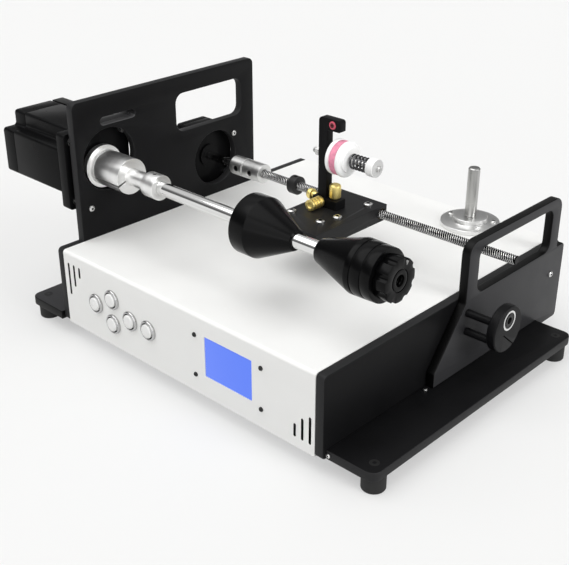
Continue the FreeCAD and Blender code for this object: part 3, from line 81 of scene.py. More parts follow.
def studio_camera(eye, azimuth, elevation, lens):
    """Camera at eye that looks against back = (sin a cos e, -cos a cos e, sin e)."""
    a, e = math.radians(azimuth), math.radians(elevation)
    back = np.array((math.sin(a) * math.cos(e), -math.cos(a) * math.cos(e), math.sin(e)))
    right = np.array((math.cos(a), math.sin(a), 0.0))
    up = np.cross(back, right)
    turn = Matrix(np.column_stack((right, up, back)).tolist()).to_4x4()
    data = bpy.data.cameras.new("camera")
    data.lens, data.sensor_width, data.sensor_fit = lens, 36.0, "HORIZONTAL"
    data.clip_end = 50.0
    camera = bpy.data.objects.new("camera", data)
    camera.matrix_world = Matrix.Translation(place(eye).tolist()) @ turn
    scene.collection.objects.link(camera)
    scene.camera = camera


def sun(name, direction, strength, spread):
    """Distant lamp that shines from direction, seen under the angle spread in degrees."""
    data = bpy.data.lights.new(name, "SUN")
    data.energy, data.angle = strength, math.radians(spread)
    lamp = bpy.data.objects.new(name, data)
    away = np.asarray(direction, float) / np.linalg.norm(direction)
    side = np.cross(Z, away) / np.linalg.norm(np.cross(Z, away))
    turn = Matrix(np.column_stack((side, np.cross(away, side), away)).tolist()).to_4x4()
    lamp.matrix_world = turn
    scene.collection.objects.link(lamp)


studio_camera(eye=(703.3, -458.5, 452.95), azimuth=43.39, elevation=26.86, lens=64.4)
sun("key_lamp", (-0.22, -0.25, 0.94), strength=1.45, spread=60)
sun("front_lamp", (0.35, -0.86, 0.38), strength=0.85, spread=50)
sun("side_lamp", (0.86, 0.10, 0.42), strength=1.30, spread=30)

horizon, zenith = (0.95, 0.95, 0.945, 1), (0.38, 0.38, 0.38, 1)
sky_greys = {0.12: 0.93, 0.16: 0.12, 0.45: 0.16, 0.62: 0.72, 0.80: 0.78}
sky = bpy.data.worlds.new("sky")
sky.use_nodes = True
scene.world = sky
tree = sky.node_tree
tree.nodes.clear()
direction = tree.nodes.new("ShaderNodeTexCoord")
height = tree.nodes.new("ShaderNodeSeparateXYZ")
ramp = tree.nodes.new("ShaderNodeValToRGB")
glow = tree.nodes.new("ShaderNodeBackground")
bands = ramp.color_ramp.elements
bands[0].color, bands[1].color = horizon, zenith
for sine_of_height, grey in sky_greys.items():
    bands.new(sine_of_height).color = (grey, grey, grey, 1)
tree.links.new(direction.outputs["Generated"], height.inputs[0])
tree.links.new(height.outputs["Z"], ramp.inputs["Fac"])
tree.links.new(ramp.outputs["Color"], glow.inputs["Color"])
tree.links.new(glow.outputs[0], tree.nodes.new("ShaderNodeOutputWorld").inputs["Surface"])


def surface(slot, colour, low, high, metal=0.0, scale=60.0, relief=0.0, tint=0.05,
            stretch=(1, 1, 1), specular=0.5, turned=None, fine=900.0, marked=None):
    """Finish of a record slot. One cloud noise n in object space varies the colour by
    1 +- tint and the roughness from low to high; a finer noise gives a relief in metres.
    With turned = (axis letter, a, b) the noises read (distance along that axis, radius from
    it), which draws the rings that a lathe leaves. Where a face's mark is 1 the colour marked
    takes over."""
    paint = bpy.data.materials.new(slot)
    paint.use_nodes = True
    nodes, links = paint.node_tree.nodes, paint.node_tree.links
    shader = nodes["Principled BSDF"]
    where = nodes.new("ShaderNodeTexCoord").outputs["Object"]
    if turned:
        letter, a, b = turned
        centre = {"X": (0, -a, -b), "Y": (-a, 0, -b), "Z": (-a, -b, 0)}[letter]
        shift = nodes.new("ShaderNodeMapping")
        shift.inputs["Location"].default_value = centre
        links.new(where, shift.inputs["Vector"])
        parts = nodes.new("ShaderNodeSeparateXYZ")
        links.new(shift.outputs[0], parts.inputs[0])
        flat = nodes.new("ShaderNodeVectorMath")
        flat.operation = "MULTIPLY"
        flat.inputs[1].default_value = [float(letter != name) for name in "XYZ"]
        links.new(shift.outputs[0], flat.inputs[0])
        radius = nodes.new("ShaderNodeVectorMath")
        radius.operation = "LENGTH"
        links.new(flat.outputs[0], radius.inputs[0])
        both = nodes.new("ShaderNodeCombineXYZ")
        links.new(parts.outputs[letter], both.inputs["X"])
        links.new(radius.outputs["Value"], both.inputs["Y"])
        where = both.outputs[0]
    noise_low, noise_high = 0.3, 0.7
    spread = nodes.new("ShaderNodeMapping")
    spread.inputs["Scale"].default_value = stretch
    links.new(where, spread.inputs["Vector"])
    cloud = nodes.new("ShaderNodeTexNoise")
    cloud.inputs["Scale"].default_value = scale
    cloud.inputs["Detail"].default_value = 4.0
    links.new(spread.outputs[0], cloud.inputs["Vector"])
    shade = nodes.new("ShaderNodeValToRGB")
    first, last = shade.color_ramp.elements
    first.position, last.position = noise_low, noise_high
    first.color = [min(c * (1 - tint), 1) for c in colour] + [1]
    last.color = [min(c * (1 + tint), 1) for c in colour] + [1]
    links.new(cloud.outputs["Fac"], shade.inputs["Fac"])
    shown = shade.outputs["Color"]
    if marked:
        face_mark = nodes.new("ShaderNodeAttribute")
        face_mark.attribute_name = "mark"
        blend = nodes.new("ShaderNodeMix")
        blend.data_type = "RGBA"
        blend.inputs[7].default_value = (*marked, 1)
        links.new(face_mark.outputs["Fac"], blend.inputs[0])
        links.new(shown, blend.inputs[6])
        shown = blend.outputs[2]
    links.new(shown, shader.inputs["Base Color"])
    rough = nodes.new("ShaderNodeMapRange")
    limits = {"From Min": noise_low, "From Max": noise_high, "To Min": low, "To Max": high}
    for socket, value in limits.items():
        rough.inputs[socket].default_value = value
    links.new(cloud.outputs["Fac"], rough.inputs["Value"])
    links.new(rough.outputs["Result"], shader.inputs["Roughness"])
    shader.inputs["Metallic"].default_value = metal
    shader.inputs["Specular IOR Level"].default_value = specular
    if relief:
        grain = nodes.new("ShaderNodeTexNoise")
        grain.inputs["Scale"].default_value = fine
        grain.inputs["Detail"].default_value = 2.0
        links.new(spread.outputs[0], grain.inputs["Vector"])
        bump = nodes.new("ShaderNodeBump")
        bump.inputs["Distance"].default_value = relief
        bump.inputs["Strength"].default_value = 1.0
        links.new(grain.outputs["Fac"], bump.inputs["Height"])
        links.new(bump.outputs["Normal"], shader.inputs["Normal"])
    return paint


foot_height, floor_reach, floor_glow = 14.0, 12000.0, 0.435
floor_paint = surface("studio_floor", (0.41, 0.41, 0.405), 0.75, 0.85, scale=3.0, tint=0.003, specular=0.1)
tree = floor_paint.node_tree
path = tree.nodes.new("ShaderNodeLightPath")
seen = path.outputs["Is Camera Ray"]
for kind in ("Is Glossy Ray", "Is Transmission Ray"):
    either = tree.nodes.new("ShaderNodeMath")
    either.operation = "MAXIMUM"
    tree.links.new(seen, either.inputs[0])
    tree.links.new(path.outputs[kind], either.inputs[1])
    seen = either.outputs[0]
share = tree.nodes.new("ShaderNodeMath")
share.operation = "MULTIPLY"
share.inputs[1].default_value = floor_glow
tree.links.new(seen, share.inputs[0])
tree.links.new(share.outputs[0], tree.nodes["Principled BSDF"].inputs["Emission Strength"])
tree.nodes["Principled BSDF"].inputs["Emission Color"].default_value = (1, 1, 1, 1)
floor_mesh = bpy.data.meshes.new("studio_floor")
floor_corners = [(x * floor_reach, y * floor_reach, -foot_height)
                 for x, y in ((-1, -1), (1, -1), (1, 1), (-1, 1))]
floor_mesh.from_pydata(place(floor_corners).tolist(), [], [(0, 1, 2, 3)])
floor_mesh.materials.append(floor_paint)
floor = bpy.data.objects.new("studio_floor", floor_mesh)
scene.collection.objects.link(floor)

# ----------------------------------------------------------------------- case and floor
# One folded steel sheet makes front, top and rear wall; its bends are rounded and it is
# powder coated in a very light grey with a fine orange peel. A zinc-plated pan closes it below.
# The marked colour, near black, is painted shade on the vent walls and the sheet's inner faces.
white_paint = surface("white_paint", (0.86, 0.86, 0.845), 0.38, 0.48, scale=25, relief=0.00001,
                      tint=0.012, specular=0.4, fine=700, marked=(0.003, 0.003, 0.003))
pan_steel = surface("pan_steel", (0.55, 0.56, 0.57), 0.35, 0.5, metal=1.0, scale=40, tint=0.1)
case_width, case_depth, case_height, sheet = 300.0, 322.0, 72.0, 1.5
vent_zone, vent_low, vent_high = 30.0, 5.0, 64.0


def mark(piece, rule):
    """Face attribute mark = rule(face centre in millimetres, face normal), from 0 to 1."""
    mesh = piece.data
    centre, normal = np.empty((2, len(mesh.polygons) * 3))
    mesh.polygons.foreach_get("center", centre)
    mesh.polygons.foreach_get("normal", normal)
    value = rule((centre.reshape(-1, 3) - corner) * 1000, normal.reshape(-1, 3))
    mesh.attributes.new("mark", "FLOAT", "FACE").data.foreach_set("value", value.astype(float))


def dress(node, paint):
    """Puts the finish on a CAD node that stays as it is."""
    mesh = frame["nodes"][node].data
    mesh.materials.clear()
    mesh.materials.append(paint)


def softened(name, node, paint, width=0.4, steps=2, bend=40):
    """Copy of a CAD solid whose loose triangles are merged and flat ones joined, with every
    edge bent by more than bend degrees rounded off to the given width."""
    mesh = frame["nodes"][node].data.copy()
    work = bmesh.new()
    work.from_mesh(mesh)
    bmesh.ops.remove_doubles(work, verts=work.verts, dist=1e-6)
    bmesh.ops.dissolve_limit(work, angle_limit=math.radians(0.5), verts=work.verts, edges=work.edges)
    work.to_mesh(mesh)
    work.free()
    mesh.shade_smooth()
    mesh.materials.clear()
    mesh.materials.append(paint)
    piece = bpy.data.objects.new(name, mesh)
    scene.collection.objects.link(piece)
    edge = piece.modifiers.new("edges", "BEVEL")
    edge.width, edge.segments = width / 1000, steps
    edge.limit_method, edge.angle_limit = "ANGLE", math.radians(bend)
    edge.harden_normals = True
    mesh.set_sharp_from_angle(angle=math.radians(bend))
    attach(piece, frame["nodes"][node]["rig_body"])
    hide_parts(node)
    return piece


def painted_shade_inside(centre, normal):
    """1 on the walls of the vent slots and on the sheet's inner faces: painted shade, near black, where the
    inside of the case lies in shade.
    """
    x, y, z = centre.T
    near, skin, steep = 0.1, 0.05, 0.5
    vents = ((x < vent_zone) | (x > case_width - vent_zone)) & (z > vent_low) & (z < vent_high)
    slots = vents & (y > skin) & (y < sheet - skin) & (np.abs(normal[:, 1]) < steep)
    front = (np.abs(y - sheet) < near) & (normal[:, 1] > steep)
    top = (np.abs(z - case_height + sheet) < near) & (normal[:, 2] < -steep)
    return slots | front | top


mark(softened("folded_case", "case_cover", white_paint, width=0.25, bend=50), painted_shade_inside)
dress("bottom_pan", pan_steel)

# --------------------------------------------------------------------------- side plates
# Five milled aluminium plates, black anodised: the tall left plate with its handle window,
# two round holes and a strap slot through a thicker boss, the low right plate, the handle
# plate bolted outside it, and the two foot flanges. Their edges are broken by a small round.
# Its marked colour is lighter: painted highlight on the milled edges and painted light on the strap slot's
# lower wall.
black_plate = surface("black_plate", (0.0055, 0.0055, 0.006), 0.38, 0.48, scale=35, relief=0.000004,
                      tint=0.12, specular=0.10, fine=1500, marked=(0.09, 0.09, 0.092))
# A lighter copy of the black plate finish: painted light on the carrying plate and the left flange; its
# marked colour, black, is painted shade on their edges.
lit_plate_paint = surface("black_plate", (0.034, 0.034, 0.036), 0.38, 0.48, scale=35, relief=0.000004,
                       tint=0.10, specular=0.16, fine=1500, marked=(0.0, 0.0, 0.0))
# A lighter copy of the black plate finish for the carriage block: painted light, as its top is lit.
lit_block_paint = surface("black_plate", (0.012, 0.012, 0.0125), 0.38, 0.48, scale=35, relief=0.000004,
                      tint=0.12, specular=0.2, fine=1500)
plate, edge_round = 8.0, 0.9


def quads(rows, columns):
    """Corner indices of the quads of a rows x columns grid whose last column meets its first."""
    r, c = np.arange(rows - 1)[:, None], np.arange(columns)[None]
    below, beside = r + 1, (c + 1) % columns
    square = (r * columns + c, r * columns + beside, below * columns + beside, below * columns + c)
    return np.stack(square, -1).reshape(-1, 4)


def joined(parts):
    """One (points, faces) from several: each part's indices move up by the points before it."""
    start = np.cumsum([0] + [len(points) for points, faces in parts])
    faces = [[index + shift for index in face] for (points, part), shift in zip(parts, start)
             for face in (part.tolist() if isinstance(part, np.ndarray) else part)]
    return np.concatenate([points for points, part in parts]), faces


def solid(name, parts, body, paint, *nodes, crisp=32):
    """Object from closed shells in millimetres. Seams and poles are merged, faces turned
    outwards, and edges bent by more than crisp degrees stay sharp. It stands for nodes."""
    points, faces = joined(parts)
    mesh = bpy.data.meshes.new(name)
    mesh.from_pydata(place(points).tolist(), [], faces)
    work = bmesh.new()
    work.from_mesh(mesh)
    bmesh.ops.remove_doubles(work, verts=work.verts, dist=1e-7)
    bmesh.ops.recalc_face_normals(work, faces=work.faces)
    work.to_mesh(mesh)
    work.free()
    mesh.shade_smooth()
    mesh.set_sharp_from_angle(angle=math.radians(crisp))
    mesh.materials.append(paint)
    piece = bpy.data.objects.new(name, mesh)
    scene.collection.objects.link(piece)
    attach(piece, body)
    if nodes:
        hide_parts(*nodes)
    return piece


def rounded(corners, steps=7):
    """Closed polyline through corners (u, v, radius). Each corner becomes the arc that
    touches both sides at radius / tan(half angle) from it."""
    data = np.asarray(corners, float)
    tip, radius = data[:, :2], data[:, 2]
    back, ahead = np.roll(tip, 1, 0) - tip, np.roll(tip, -1, 0) - tip
    back /= np.linalg.norm(back, axis=1)[:, None]
    ahead /= np.linalg.norm(ahead, axis=1)[:, None]
    half = np.arccos(np.clip((back * ahead).sum(1), -1, 1)) / 2
    middle = (back + ahead) / np.linalg.norm(back + ahead, axis=1)[:, None]
    centre = tip + middle * (radius / np.sin(half))[:, None]
    spoke = tip + back * (radius / np.tan(half))[:, None] - centre
    sign = np.sign(back[:, 1] * ahead[:, 0] - back[:, 0] * ahead[:, 1])
    turn = np.linspace(0, 1, steps)[None] * ((math.pi - 2 * half) * sign)[:, None]
    c, s = np.cos(turn), np.sin(turn)
    arc = np.stack((spoke[:, None, 0] * c - spoke[:, None, 1] * s,
                    spoke[:, None, 0] * s + spoke[:, None, 1] * c), -1) + centre[:, None]
    line = arc.reshape(-1, 2)
    return line[np.linalg.norm(line - np.roll(line, 1, 0), axis=1) > 1e-6]


def rectangle(left, low, right, high, *radii, steps=7):
    """Rounded loop through a rectangle's corners, counterclockwise from its lower left one,
    with one radius for all of them or one for each."""
    spots = ((left, low), (right, low), (right, high), (left, high))
    return rounded([(*spot, radius) for spot, radius in zip(spots, radii * (4 // len(radii)))], steps)


def circle(u, v, radius, steps=64):
    """Closed ring of points at radius about (u, v)."""
    turn = np.linspace(0, 2 * math.pi, steps, endpoint=False)
    return np.stack((u + radius * np.cos(turn), v + radius * np.sin(turn)), -1)


def slab(loops, start, u, v, thick, edge=edge_round, steps=4):
    """Plate spanned by u and v that runs from start along u x v. Each outline loop p moves
    to p - inset * n, with n the mitred outward normal; (depth, inset) follows a quarter
    circle at both faces. The first and last rows are filled with triangles."""
    w = np.cross(u, v)
    turn = np.linspace(0, math.pi / 2, steps)
    depth = np.concatenate((edge * (1 - np.cos(turn)), thick - edge * (1 - np.cos(turn))[::-1]))
    inset = np.concatenate((edge * (1 - np.sin(turn)), edge * (1 - np.sin(turn))[::-1]))
    points, faces, first, last, count = [], [], [], [], 0
    for order, loop in enumerate(loops):
        area = (loop[:, 0] * np.roll(loop[:, 1], -1) - np.roll(loop[:, 0], -1) * loop[:, 1]).sum()
        loop = loop if (area > 0) == (order == 0) else loop[::-1]
        run = np.roll(loop, -1, 0) - loop
        out = np.stack((run[:, 1], -run[:, 0]), -1) / np.linalg.norm(run, axis=1)[:, None]
        before = np.roll(out, 1, 0)
        mitre = (out + before) / (1 + (out * before).sum(1))[:, None]
        flat = loop[None] - inset[:, None, None] * mitre[None]
        grid = start + flat[..., :1] * u + flat[..., 1:] * v + depth[:, None, None] * w
        rows, columns = grid.shape[:2]
        points.append(grid.reshape(-1, 3))
        faces += (quads(rows, columns) + count).tolist()
        first.append(np.arange(columns) + count)
        last.append(np.arange(columns) + count + (rows - 1) * columns)
        count += rows * columns
    points = np.concatenate(points)
    for rims in (first, last):
        index = np.concatenate(rims)
        outline = [[(*(points[i] @ np.column_stack((u, v))), 0.0) for i in rim] for rim in rims]
        faces += [[int(index[k]) for k in triangle] for triangle in tessellate_polygon(outline)]
    return points, faces


plate_corner, tight_corner = 4, 0.5
tall_front, tall_rear, tall_top, tall_corner = 23, 240, 199, 6
left_outline = rounded([
    (0, 0, plate_corner), (case_depth, 0, plate_corner), (case_depth, case_height, plate_corner),
    (tall_rear, case_height, tight_corner), (tall_rear, tall_top, tall_corner),
    (tall_front, tall_top, tall_corner), (tall_front, case_height, tight_corner),
    (0, case_height, plate_corner)])
left_window = rectangle(139, 146, 223, 182.5, 9)
slot_front, slot_rear, slot_low, slot_high = 52, 91, 173.5, 180.5
left_slot = rectangle(slot_front, slot_low, slot_rear, slot_high, 3.49)
slot_boss, boss_depth = rectangle(48, 170.3, 95, 184.5, 2), 11
hub_bore, screw_bore = circle(59.0, 141.5, 28.5, 80), circle(187.0, 109.2, 27.0, 80)


def milled(axis, share=0.2):
    """Rule that marks a plate's milled edges, whose normal leans away from the axis, by the
    share, and the strap slot's lower wall fully. Where the marked colour is lighter this is a
    painted highlight on the edges and painted light on the slot's lit lower wall; where it is
    black it is painted shade on the edges."""
    face_limit, upward, near = 0.75, 0.5, 1.5

    def rule(centre, normal):
        x, y, z = centre.T
        inside = (x < 1) & (y > slot_front - 1) & (y < slot_rear + 1)
        lit_slot_floor = inside & (np.abs(z - slot_low) < near) & (normal[:, 2] > upward)
        return np.where(lit_slot_floor, 1.0, share * (np.abs(normal @ axis) < face_limit))
    return rule


tall_slab = slab([left_outline, left_window, left_slot, hub_bore, screw_bore], (-plate, 0, 0), Y, Z, plate)
boss_slab = slab([slot_boss, left_slot], (-plate - boss_depth, 0, 0), Y, Z, boss_depth, edge=0.3)
low_slab = slab([rectangle(0, 0, case_depth, case_height, plate_corner)], (case_width, 0, 0), Y, Z, plate)
mark(solid("tall_left_plate", [tall_slab, boss_slab], "base", black_plate, "left_side_plate"), milled(X))
mark(solid("low_right_plate", [low_slab], "base", black_plate, "right_side_plate"), milled(X))

toe, tab_front, tab_rear, tab_top, flange = 124.5, 281.3, 316, 74, 8.0
grip_front, grip_rear, grip_top, grip_corner, grip_foot = 162, 303, 122.5, 11, 70
handle_outline = rounded([
    (toe, flange, tight_corner), (tab_front, flange, tight_corner), (tab_front, 0, tight_corner),
    (tab_rear, 0, plate_corner), (tab_rear, tab_top, plate_corner), (grip_rear, tab_top, tight_corner),
    (grip_rear, grip_top, grip_corner), (grip_front, grip_top, grip_corner),
    (grip_front, grip_foot, plate_corner), (toe, 21, plate_corner)])
handle_window = rectangle(177, tab_top, 289, 113.8, 8)
handle_face = case_width + 2 * plate
handle_slab = slab([handle_outline, handle_window], (case_width + plate, 0, 0), Y, Z, plate)
mark(solid("carrying_plate", [handle_slab], "base", lit_plate_paint, "right_handle_plate"), milled(X, 1.0))

flange_corner, flange_edge, flange_rear = 8, 0.8, 281
right_loop = rectangle(case_width + plate, 4, 353, flange_rear,
                       tight_corner, flange_corner, flange_corner, tight_corner)
left_loop = rectangle(-56.5, -3, -plate, flange_rear,
                      flange_corner, tight_corner, tight_corner, flange_corner)
right_slab, left_slab = (slab([loop], (0, 0, 0), X, Y, flange, flange_edge)
                         for loop in (right_loop, left_loop))
mark(solid("right_flange", [right_slab], "base", black_plate, "right_foot_flange"), milled(Z))
mark(solid("left_flange", [left_slab], "base", lit_plate_paint, "left_foot_flange"), milled(Z, 1.0))

# ------------------------------------------------------------------------- feet, screws
# Four turned rubber feet hang on countersunk screws under the flanges. Bright button screws
# hold the plates and the spool post, two small ones sit at the right flange, and four small
# black ones hold the display.
foot_rubber = surface("foot_rubber", (0.018, 0.018, 0.018), 0.6, 0.75, scale=90, relief=0.00001,
                      tint=0.15, specular=0.3)
# The steels' marked colours are painted shade in the screw sockets.
black_steel = surface("black_steel", (0.012, 0.012, 0.012), 0.35, 0.5, scale=200, tint=0.15, specular=0.3,
                      marked=(0.001, 0.001, 0.001))
bright_steel = surface("bright_steel", (0.66, 0.66, 0.65), 0.22, 0.36, metal=1.0, scale=300, tint=0.08,
                       marked=(0.01, 0.01, 0.01))


def lathe(profile, start, axis, steps=64, shape=None, angles=None):
    """Surface of revolution: row (a, r) of the profile becomes the ring
    start + a * axis + r * (cos t * u + sin t * v); shape(a, r, t) may change r on the way."""
    rows = np.asarray(profile, float)
    axis = np.asarray(axis, float)
    u = X if abs(axis[2]) > 0.5 else Z
    v = np.cross(axis, u)
    turn = np.linspace(0, 2 * math.pi, steps, endpoint=False) if angles is None else angles
    along = rows[:, :1] * np.ones_like(turn)
    radius = rows[:, 1:2] * np.ones_like(turn)
    if shape:
        radius = shape(along, radius, turn)
    spoke = np.cos(turn)[:, None] * u + np.sin(turn)[:, None] * v
    grid = start + along[..., None] * axis + radius[..., None] * spoke
    return grid.reshape(-1, 3), quads(len(rows), len(turn))


def eased(profile, size=0.5, steps=4):
    """Open profile line whose inner corners are replaced by arcs of about the given size,
    drawn as the quadratic curve (1-t)^2 a + 2t(1-t) p + t^2 b between points a, b near p."""
    line = np.asarray(profile, float)
    t = np.linspace(0, 1, steps)[:, None]
    rows = [line[:1]]
    for before, here, after in zip(line[:-2], line[1:-1], line[2:]):
        back, ahead = before - here, after - here
        near = min(size, np.linalg.norm(back) * 0.45, np.linalg.norm(ahead) * 0.45)
        a, b = here + back / np.linalg.norm(back) * near, here + ahead / np.linalg.norm(ahead) * near
        rows.append((1 - t) ** 2 * a + 2 * t * (1 - t) * here + t ** 2 * b)
    rows.append(line[-1:])
    return np.concatenate(rows)


def hexagon(radius, turn):
    """Radius of a hexagon with corners at radius: radius * cos(30) / cos((turn mod 60) - 30)."""
    return radius * math.cos(math.pi / 6) / np.cos(np.mod(turn, math.pi / 3) - math.pi / 6)


def key_screw(seat, axis, radius, height, socket, sunk=False):
    """Screw head turned from a profile line whose socket rows take 1.08 times a hexagon's
    radius. A button head has a crown, a sunk one is flat and its socket goes deeper."""
    stem, rim, flat, root = radius * 0.6, height * 0.55, radius * 0.68, -0.6
    line = [(root, 0), (root, stem), (0, radius), (rim, radius), (height, flat),
            (height, socket), (height * 0.35, socket), (height * 0.2, 0)]
    if sunk:
        root, floor_edge, floor_middle = -1.0, -0.8, -0.9
        line = [(root, 0), (root, stem), (0, radius), (height, radius), (height, socket),
                (floor_edge, socket), (floor_middle, 0)]

    def socketed(along, r, t):
        return np.where(np.abs(r - socket) < 1e-6, hexagon(r, t) * 1.08, r)

    return lathe(line, seat, axis, 48, socketed)


def screw_set(name, groups, body, paint, node):
    """One object of several groups (seats with their axes, (head radius, head height, socket
    radius), sunk). The faces nearer to an axis than the socket and below the head's top are
    marked: painted shade in the sockets."""
    heads, shaded_sockets = [], []
    for seats, size, sunk in groups:
        heads += [key_screw(seat, axis, *size, sunk) for seat, axis in seats]
        shaded_sockets += [(seat, axis, size) for seat, axis in seats]

    def rule(centre, normal):
        value, reach, skin, deepest = np.zeros(len(centre), bool), 1.12, 0.02, -1.5
        for seat, axis, (radius, height, socket) in shaded_sockets:
            along = (centre - seat) @ axis
            away = np.linalg.norm(centre - seat - along[:, None] * axis, axis=1)
            value |= (away < socket * reach) & (along < height - skin) & (along > deepest)
        return value

    mark(solid(name, heads, body, paint, node), rule)


foot_spots = [(343, 16.5), (343, 268.5), (-46.5, 9.5), (-46.5, 268.5)]
foot_radius, sole_radius = 9.5, 8.55
foot_profile = eased([(0, 0), (0, sole_radius), (1.0, foot_radius), (foot_height - 0.8, foot_radius),
                      (foot_height, foot_radius - 0.3), (foot_height, 0)], 0.6)
solid("rubber_foot_set", [lathe(foot_profile, (x, y, -foot_height), Z) for x, y in foot_spots],
      "base", foot_rubber, "rubber_feet")
foot_seats = [((x, y, flange - 0.05), Z) for x, y in foot_spots]
display_seats = [((x, 0, z), -Y) for x in (172.0, 245.6) for z in (16.8, 53.4)]
screw_set("black_screw_set", [(foot_seats, (4.0, 0.12, 1.6), True), (display_seats, (2.0, 1.4, 0.8), False)],
          "base", black_steel, "black_screws")
post_place, post_ring = (229.0, 295.0), 21.5
plinth_height, post_turns = 4, np.radians((30.0, 105.0, 180.0))
plate_seats = [((0, 34.6, 101.0), X), ((0, 211.7, 128.5), X), ((handle_face, 296.3, 49.0), X)]
plate_seats += [((post_place[0] + post_ring * math.cos(t), post_place[1] + post_ring * math.sin(t),
                  case_height + plinth_height), Z) for t in post_turns]
flange_seats = [((312.5, 119.0, flange), Z), ((310.2, 4.0, 4.0), -Y)]
screw_set("bright_screw_set", [(plate_seats, (2.8, 1.7, 1.1), False), (flange_seats, (1.9, 1.2, 0.8), False)],
          "base", bright_steel, "plate_screws")

# ----------------------------------------------------------------------- keypad, display
# Each push button is a polished metal bezel with a rolled rim and a pale cap, slightly
# crowned, that sits in it with a narrow gap. The display is a backlit blue panel that sits
# in its window in the sheet.
# The chrome's marked colour is painted shade on the bezels' inner walls at the gap.
chrome_ring = surface("chrome_ring", (0.48, 0.48, 0.48), 0.05, 0.09, metal=1.0, scale=80, tint=0.03,
                      marked=(0.01, 0.01, 0.01))
button_cap = surface("button_cap", (0.84, 0.84, 0.83), 0.22, 0.3, scale=60, tint=0.02, specular=0.5)
module_plastic = surface("module_plastic", (0.03, 0.05, 0.03), 0.5, 0.6, scale=200, tint=0.1)
button_spots = {"left": (44.0, 34.5), "up": (67.0, 46.3), "down": (67.0, 22.7),
                "right": (90.6, 34.5), "enter": (114.2, 34.5)}
cap_radius, gap_radius, barrel_radius, bezel_radius, seat, barrel_end = 6.2, 6.7, 7.9, 9.0, 0.05, 20
bezel_profile = eased([(0.2, gap_radius), (-0.9, 7.0), (-2.4, 7.3), (-2.4, 8.2), (-1.5, bezel_radius),
                       (seat, bezel_radius), (seat, gap_radius)], 0.35)
cap_profile = eased([(8.0, 0), (8.0, cap_radius), (-2.8, cap_radius), (-3.35, 5.6), (-3.55, 3.4),
                     (-3.6, 0)], 0.8, 5)
barrel = [(seat, gap_radius), (seat, barrel_radius), (barrel_end, barrel_radius), (barrel_end, gap_radius)]


def closed(profile):
    """Profile line with its first row once more at the end."""
    return np.concatenate((profile, profile[:1]))


bezels = solid("button_bezel_set", [lathe(closed(line), (x, 0, z), Y) for x, z in button_spots.values()
                                    for line in (bezel_profile, barrel)],
               "base", chrome_ring, "button_bezels")


def shaded_gap_walls(centre, normal):
    """1 on the inner walls of the bezels, close to the gap round a cap: painted shade."""
    away = [np.hypot(centre[:, 0] - x, centre[:, 2] - z) for x, z in button_spots.values()]
    return np.min(away, axis=0) < gap_radius + 0.2


mark(bezels, shaded_gap_walls)
for key, (x, z) in button_spots.items():
    solid("cap_" + key, [lathe(cap_profile, (x, 0, z), Y)], "key_" + key, button_cap, "button_" + key)

lcd_blue = surface("lcd_blue", (0.03, 0.05, 0.15), 0.22, 0.28, scale=14, tint=0.06, specular=0.2)
backlight, backlight_blue = lcd_blue.node_tree.nodes["Principled BSDF"].inputs, (0.10, 0.19, 0.80, 1)
backlight["Emission Color"].default_value = backlight_blue
backlight["Emission Strength"].default_value = 1.0
dress("lcd_module", module_plastic)
screen, glass_rear, glass_thick = rectangle(183.5, 19.7, 235.3, 55.3, 0.3, steps=3), 2.5, 2.2
solid("display_glass", [slab([screen], (0, glass_rear, 0), X, Z, glass_thick, edge=0.2)],
      "base", lcd_blue, "lcd_screen")

# ------------------------------------------------------------------- inside and rear wall
# Control board, power supply and motor drivers sit on the pan. The mains inlet and the
# rocker switch are moulded in black, the rocker itself in red.
board_green = surface("board_green", (0.02, 0.16, 0.06), 0.3, 0.4, scale=150, tint=0.2)
supply_case = surface("supply_case", (0.6, 0.6, 0.6), 0.35, 0.45, metal=1.0, scale=60, tint=0.06)
driver_case = surface("driver_case", (0.03, 0.03, 0.03), 0.5, 0.6, scale=120, tint=0.1)
inlet_plastic = surface("inlet_plastic", (0.015, 0.015, 0.015), 0.4, 0.5, scale=150, tint=0.1)
rocker_red = surface("rocker_red", (0.42, 0.012, 0.012), 0.2, 0.28, scale=80, tint=0.05)
dress("control_board", board_green)
dress("power_supply", supply_case)
dress("motor_drivers", driver_case)
softened("inlet_and_frame", "power_inlet", inlet_plastic, width=0.4)
softened("rocker_key", "power_rocker", rocker_red, width=0.6, steps=3)

# ------------------------------------------------------------------------------- motors
# Stepper motors behind the tall plate: cast flange, laminated stator with notched corners
# and an end cap, all painted satin black. The winding shaft's motor is the long one.
motor_black = surface("motor_black", (0.004, 0.004, 0.0043), 0.26, 0.36, scale=30, relief=0.000006,
                      tint=0.12, specular=0.06, fine=1100)
spindle, screw_line = (0, 55.0, 134.8), (0, 187.0, 109.2)
motor_face, motor_corner, box_gap, thin_edge, soft_edge = -11.5, 3, 5, 0.4, 0.6


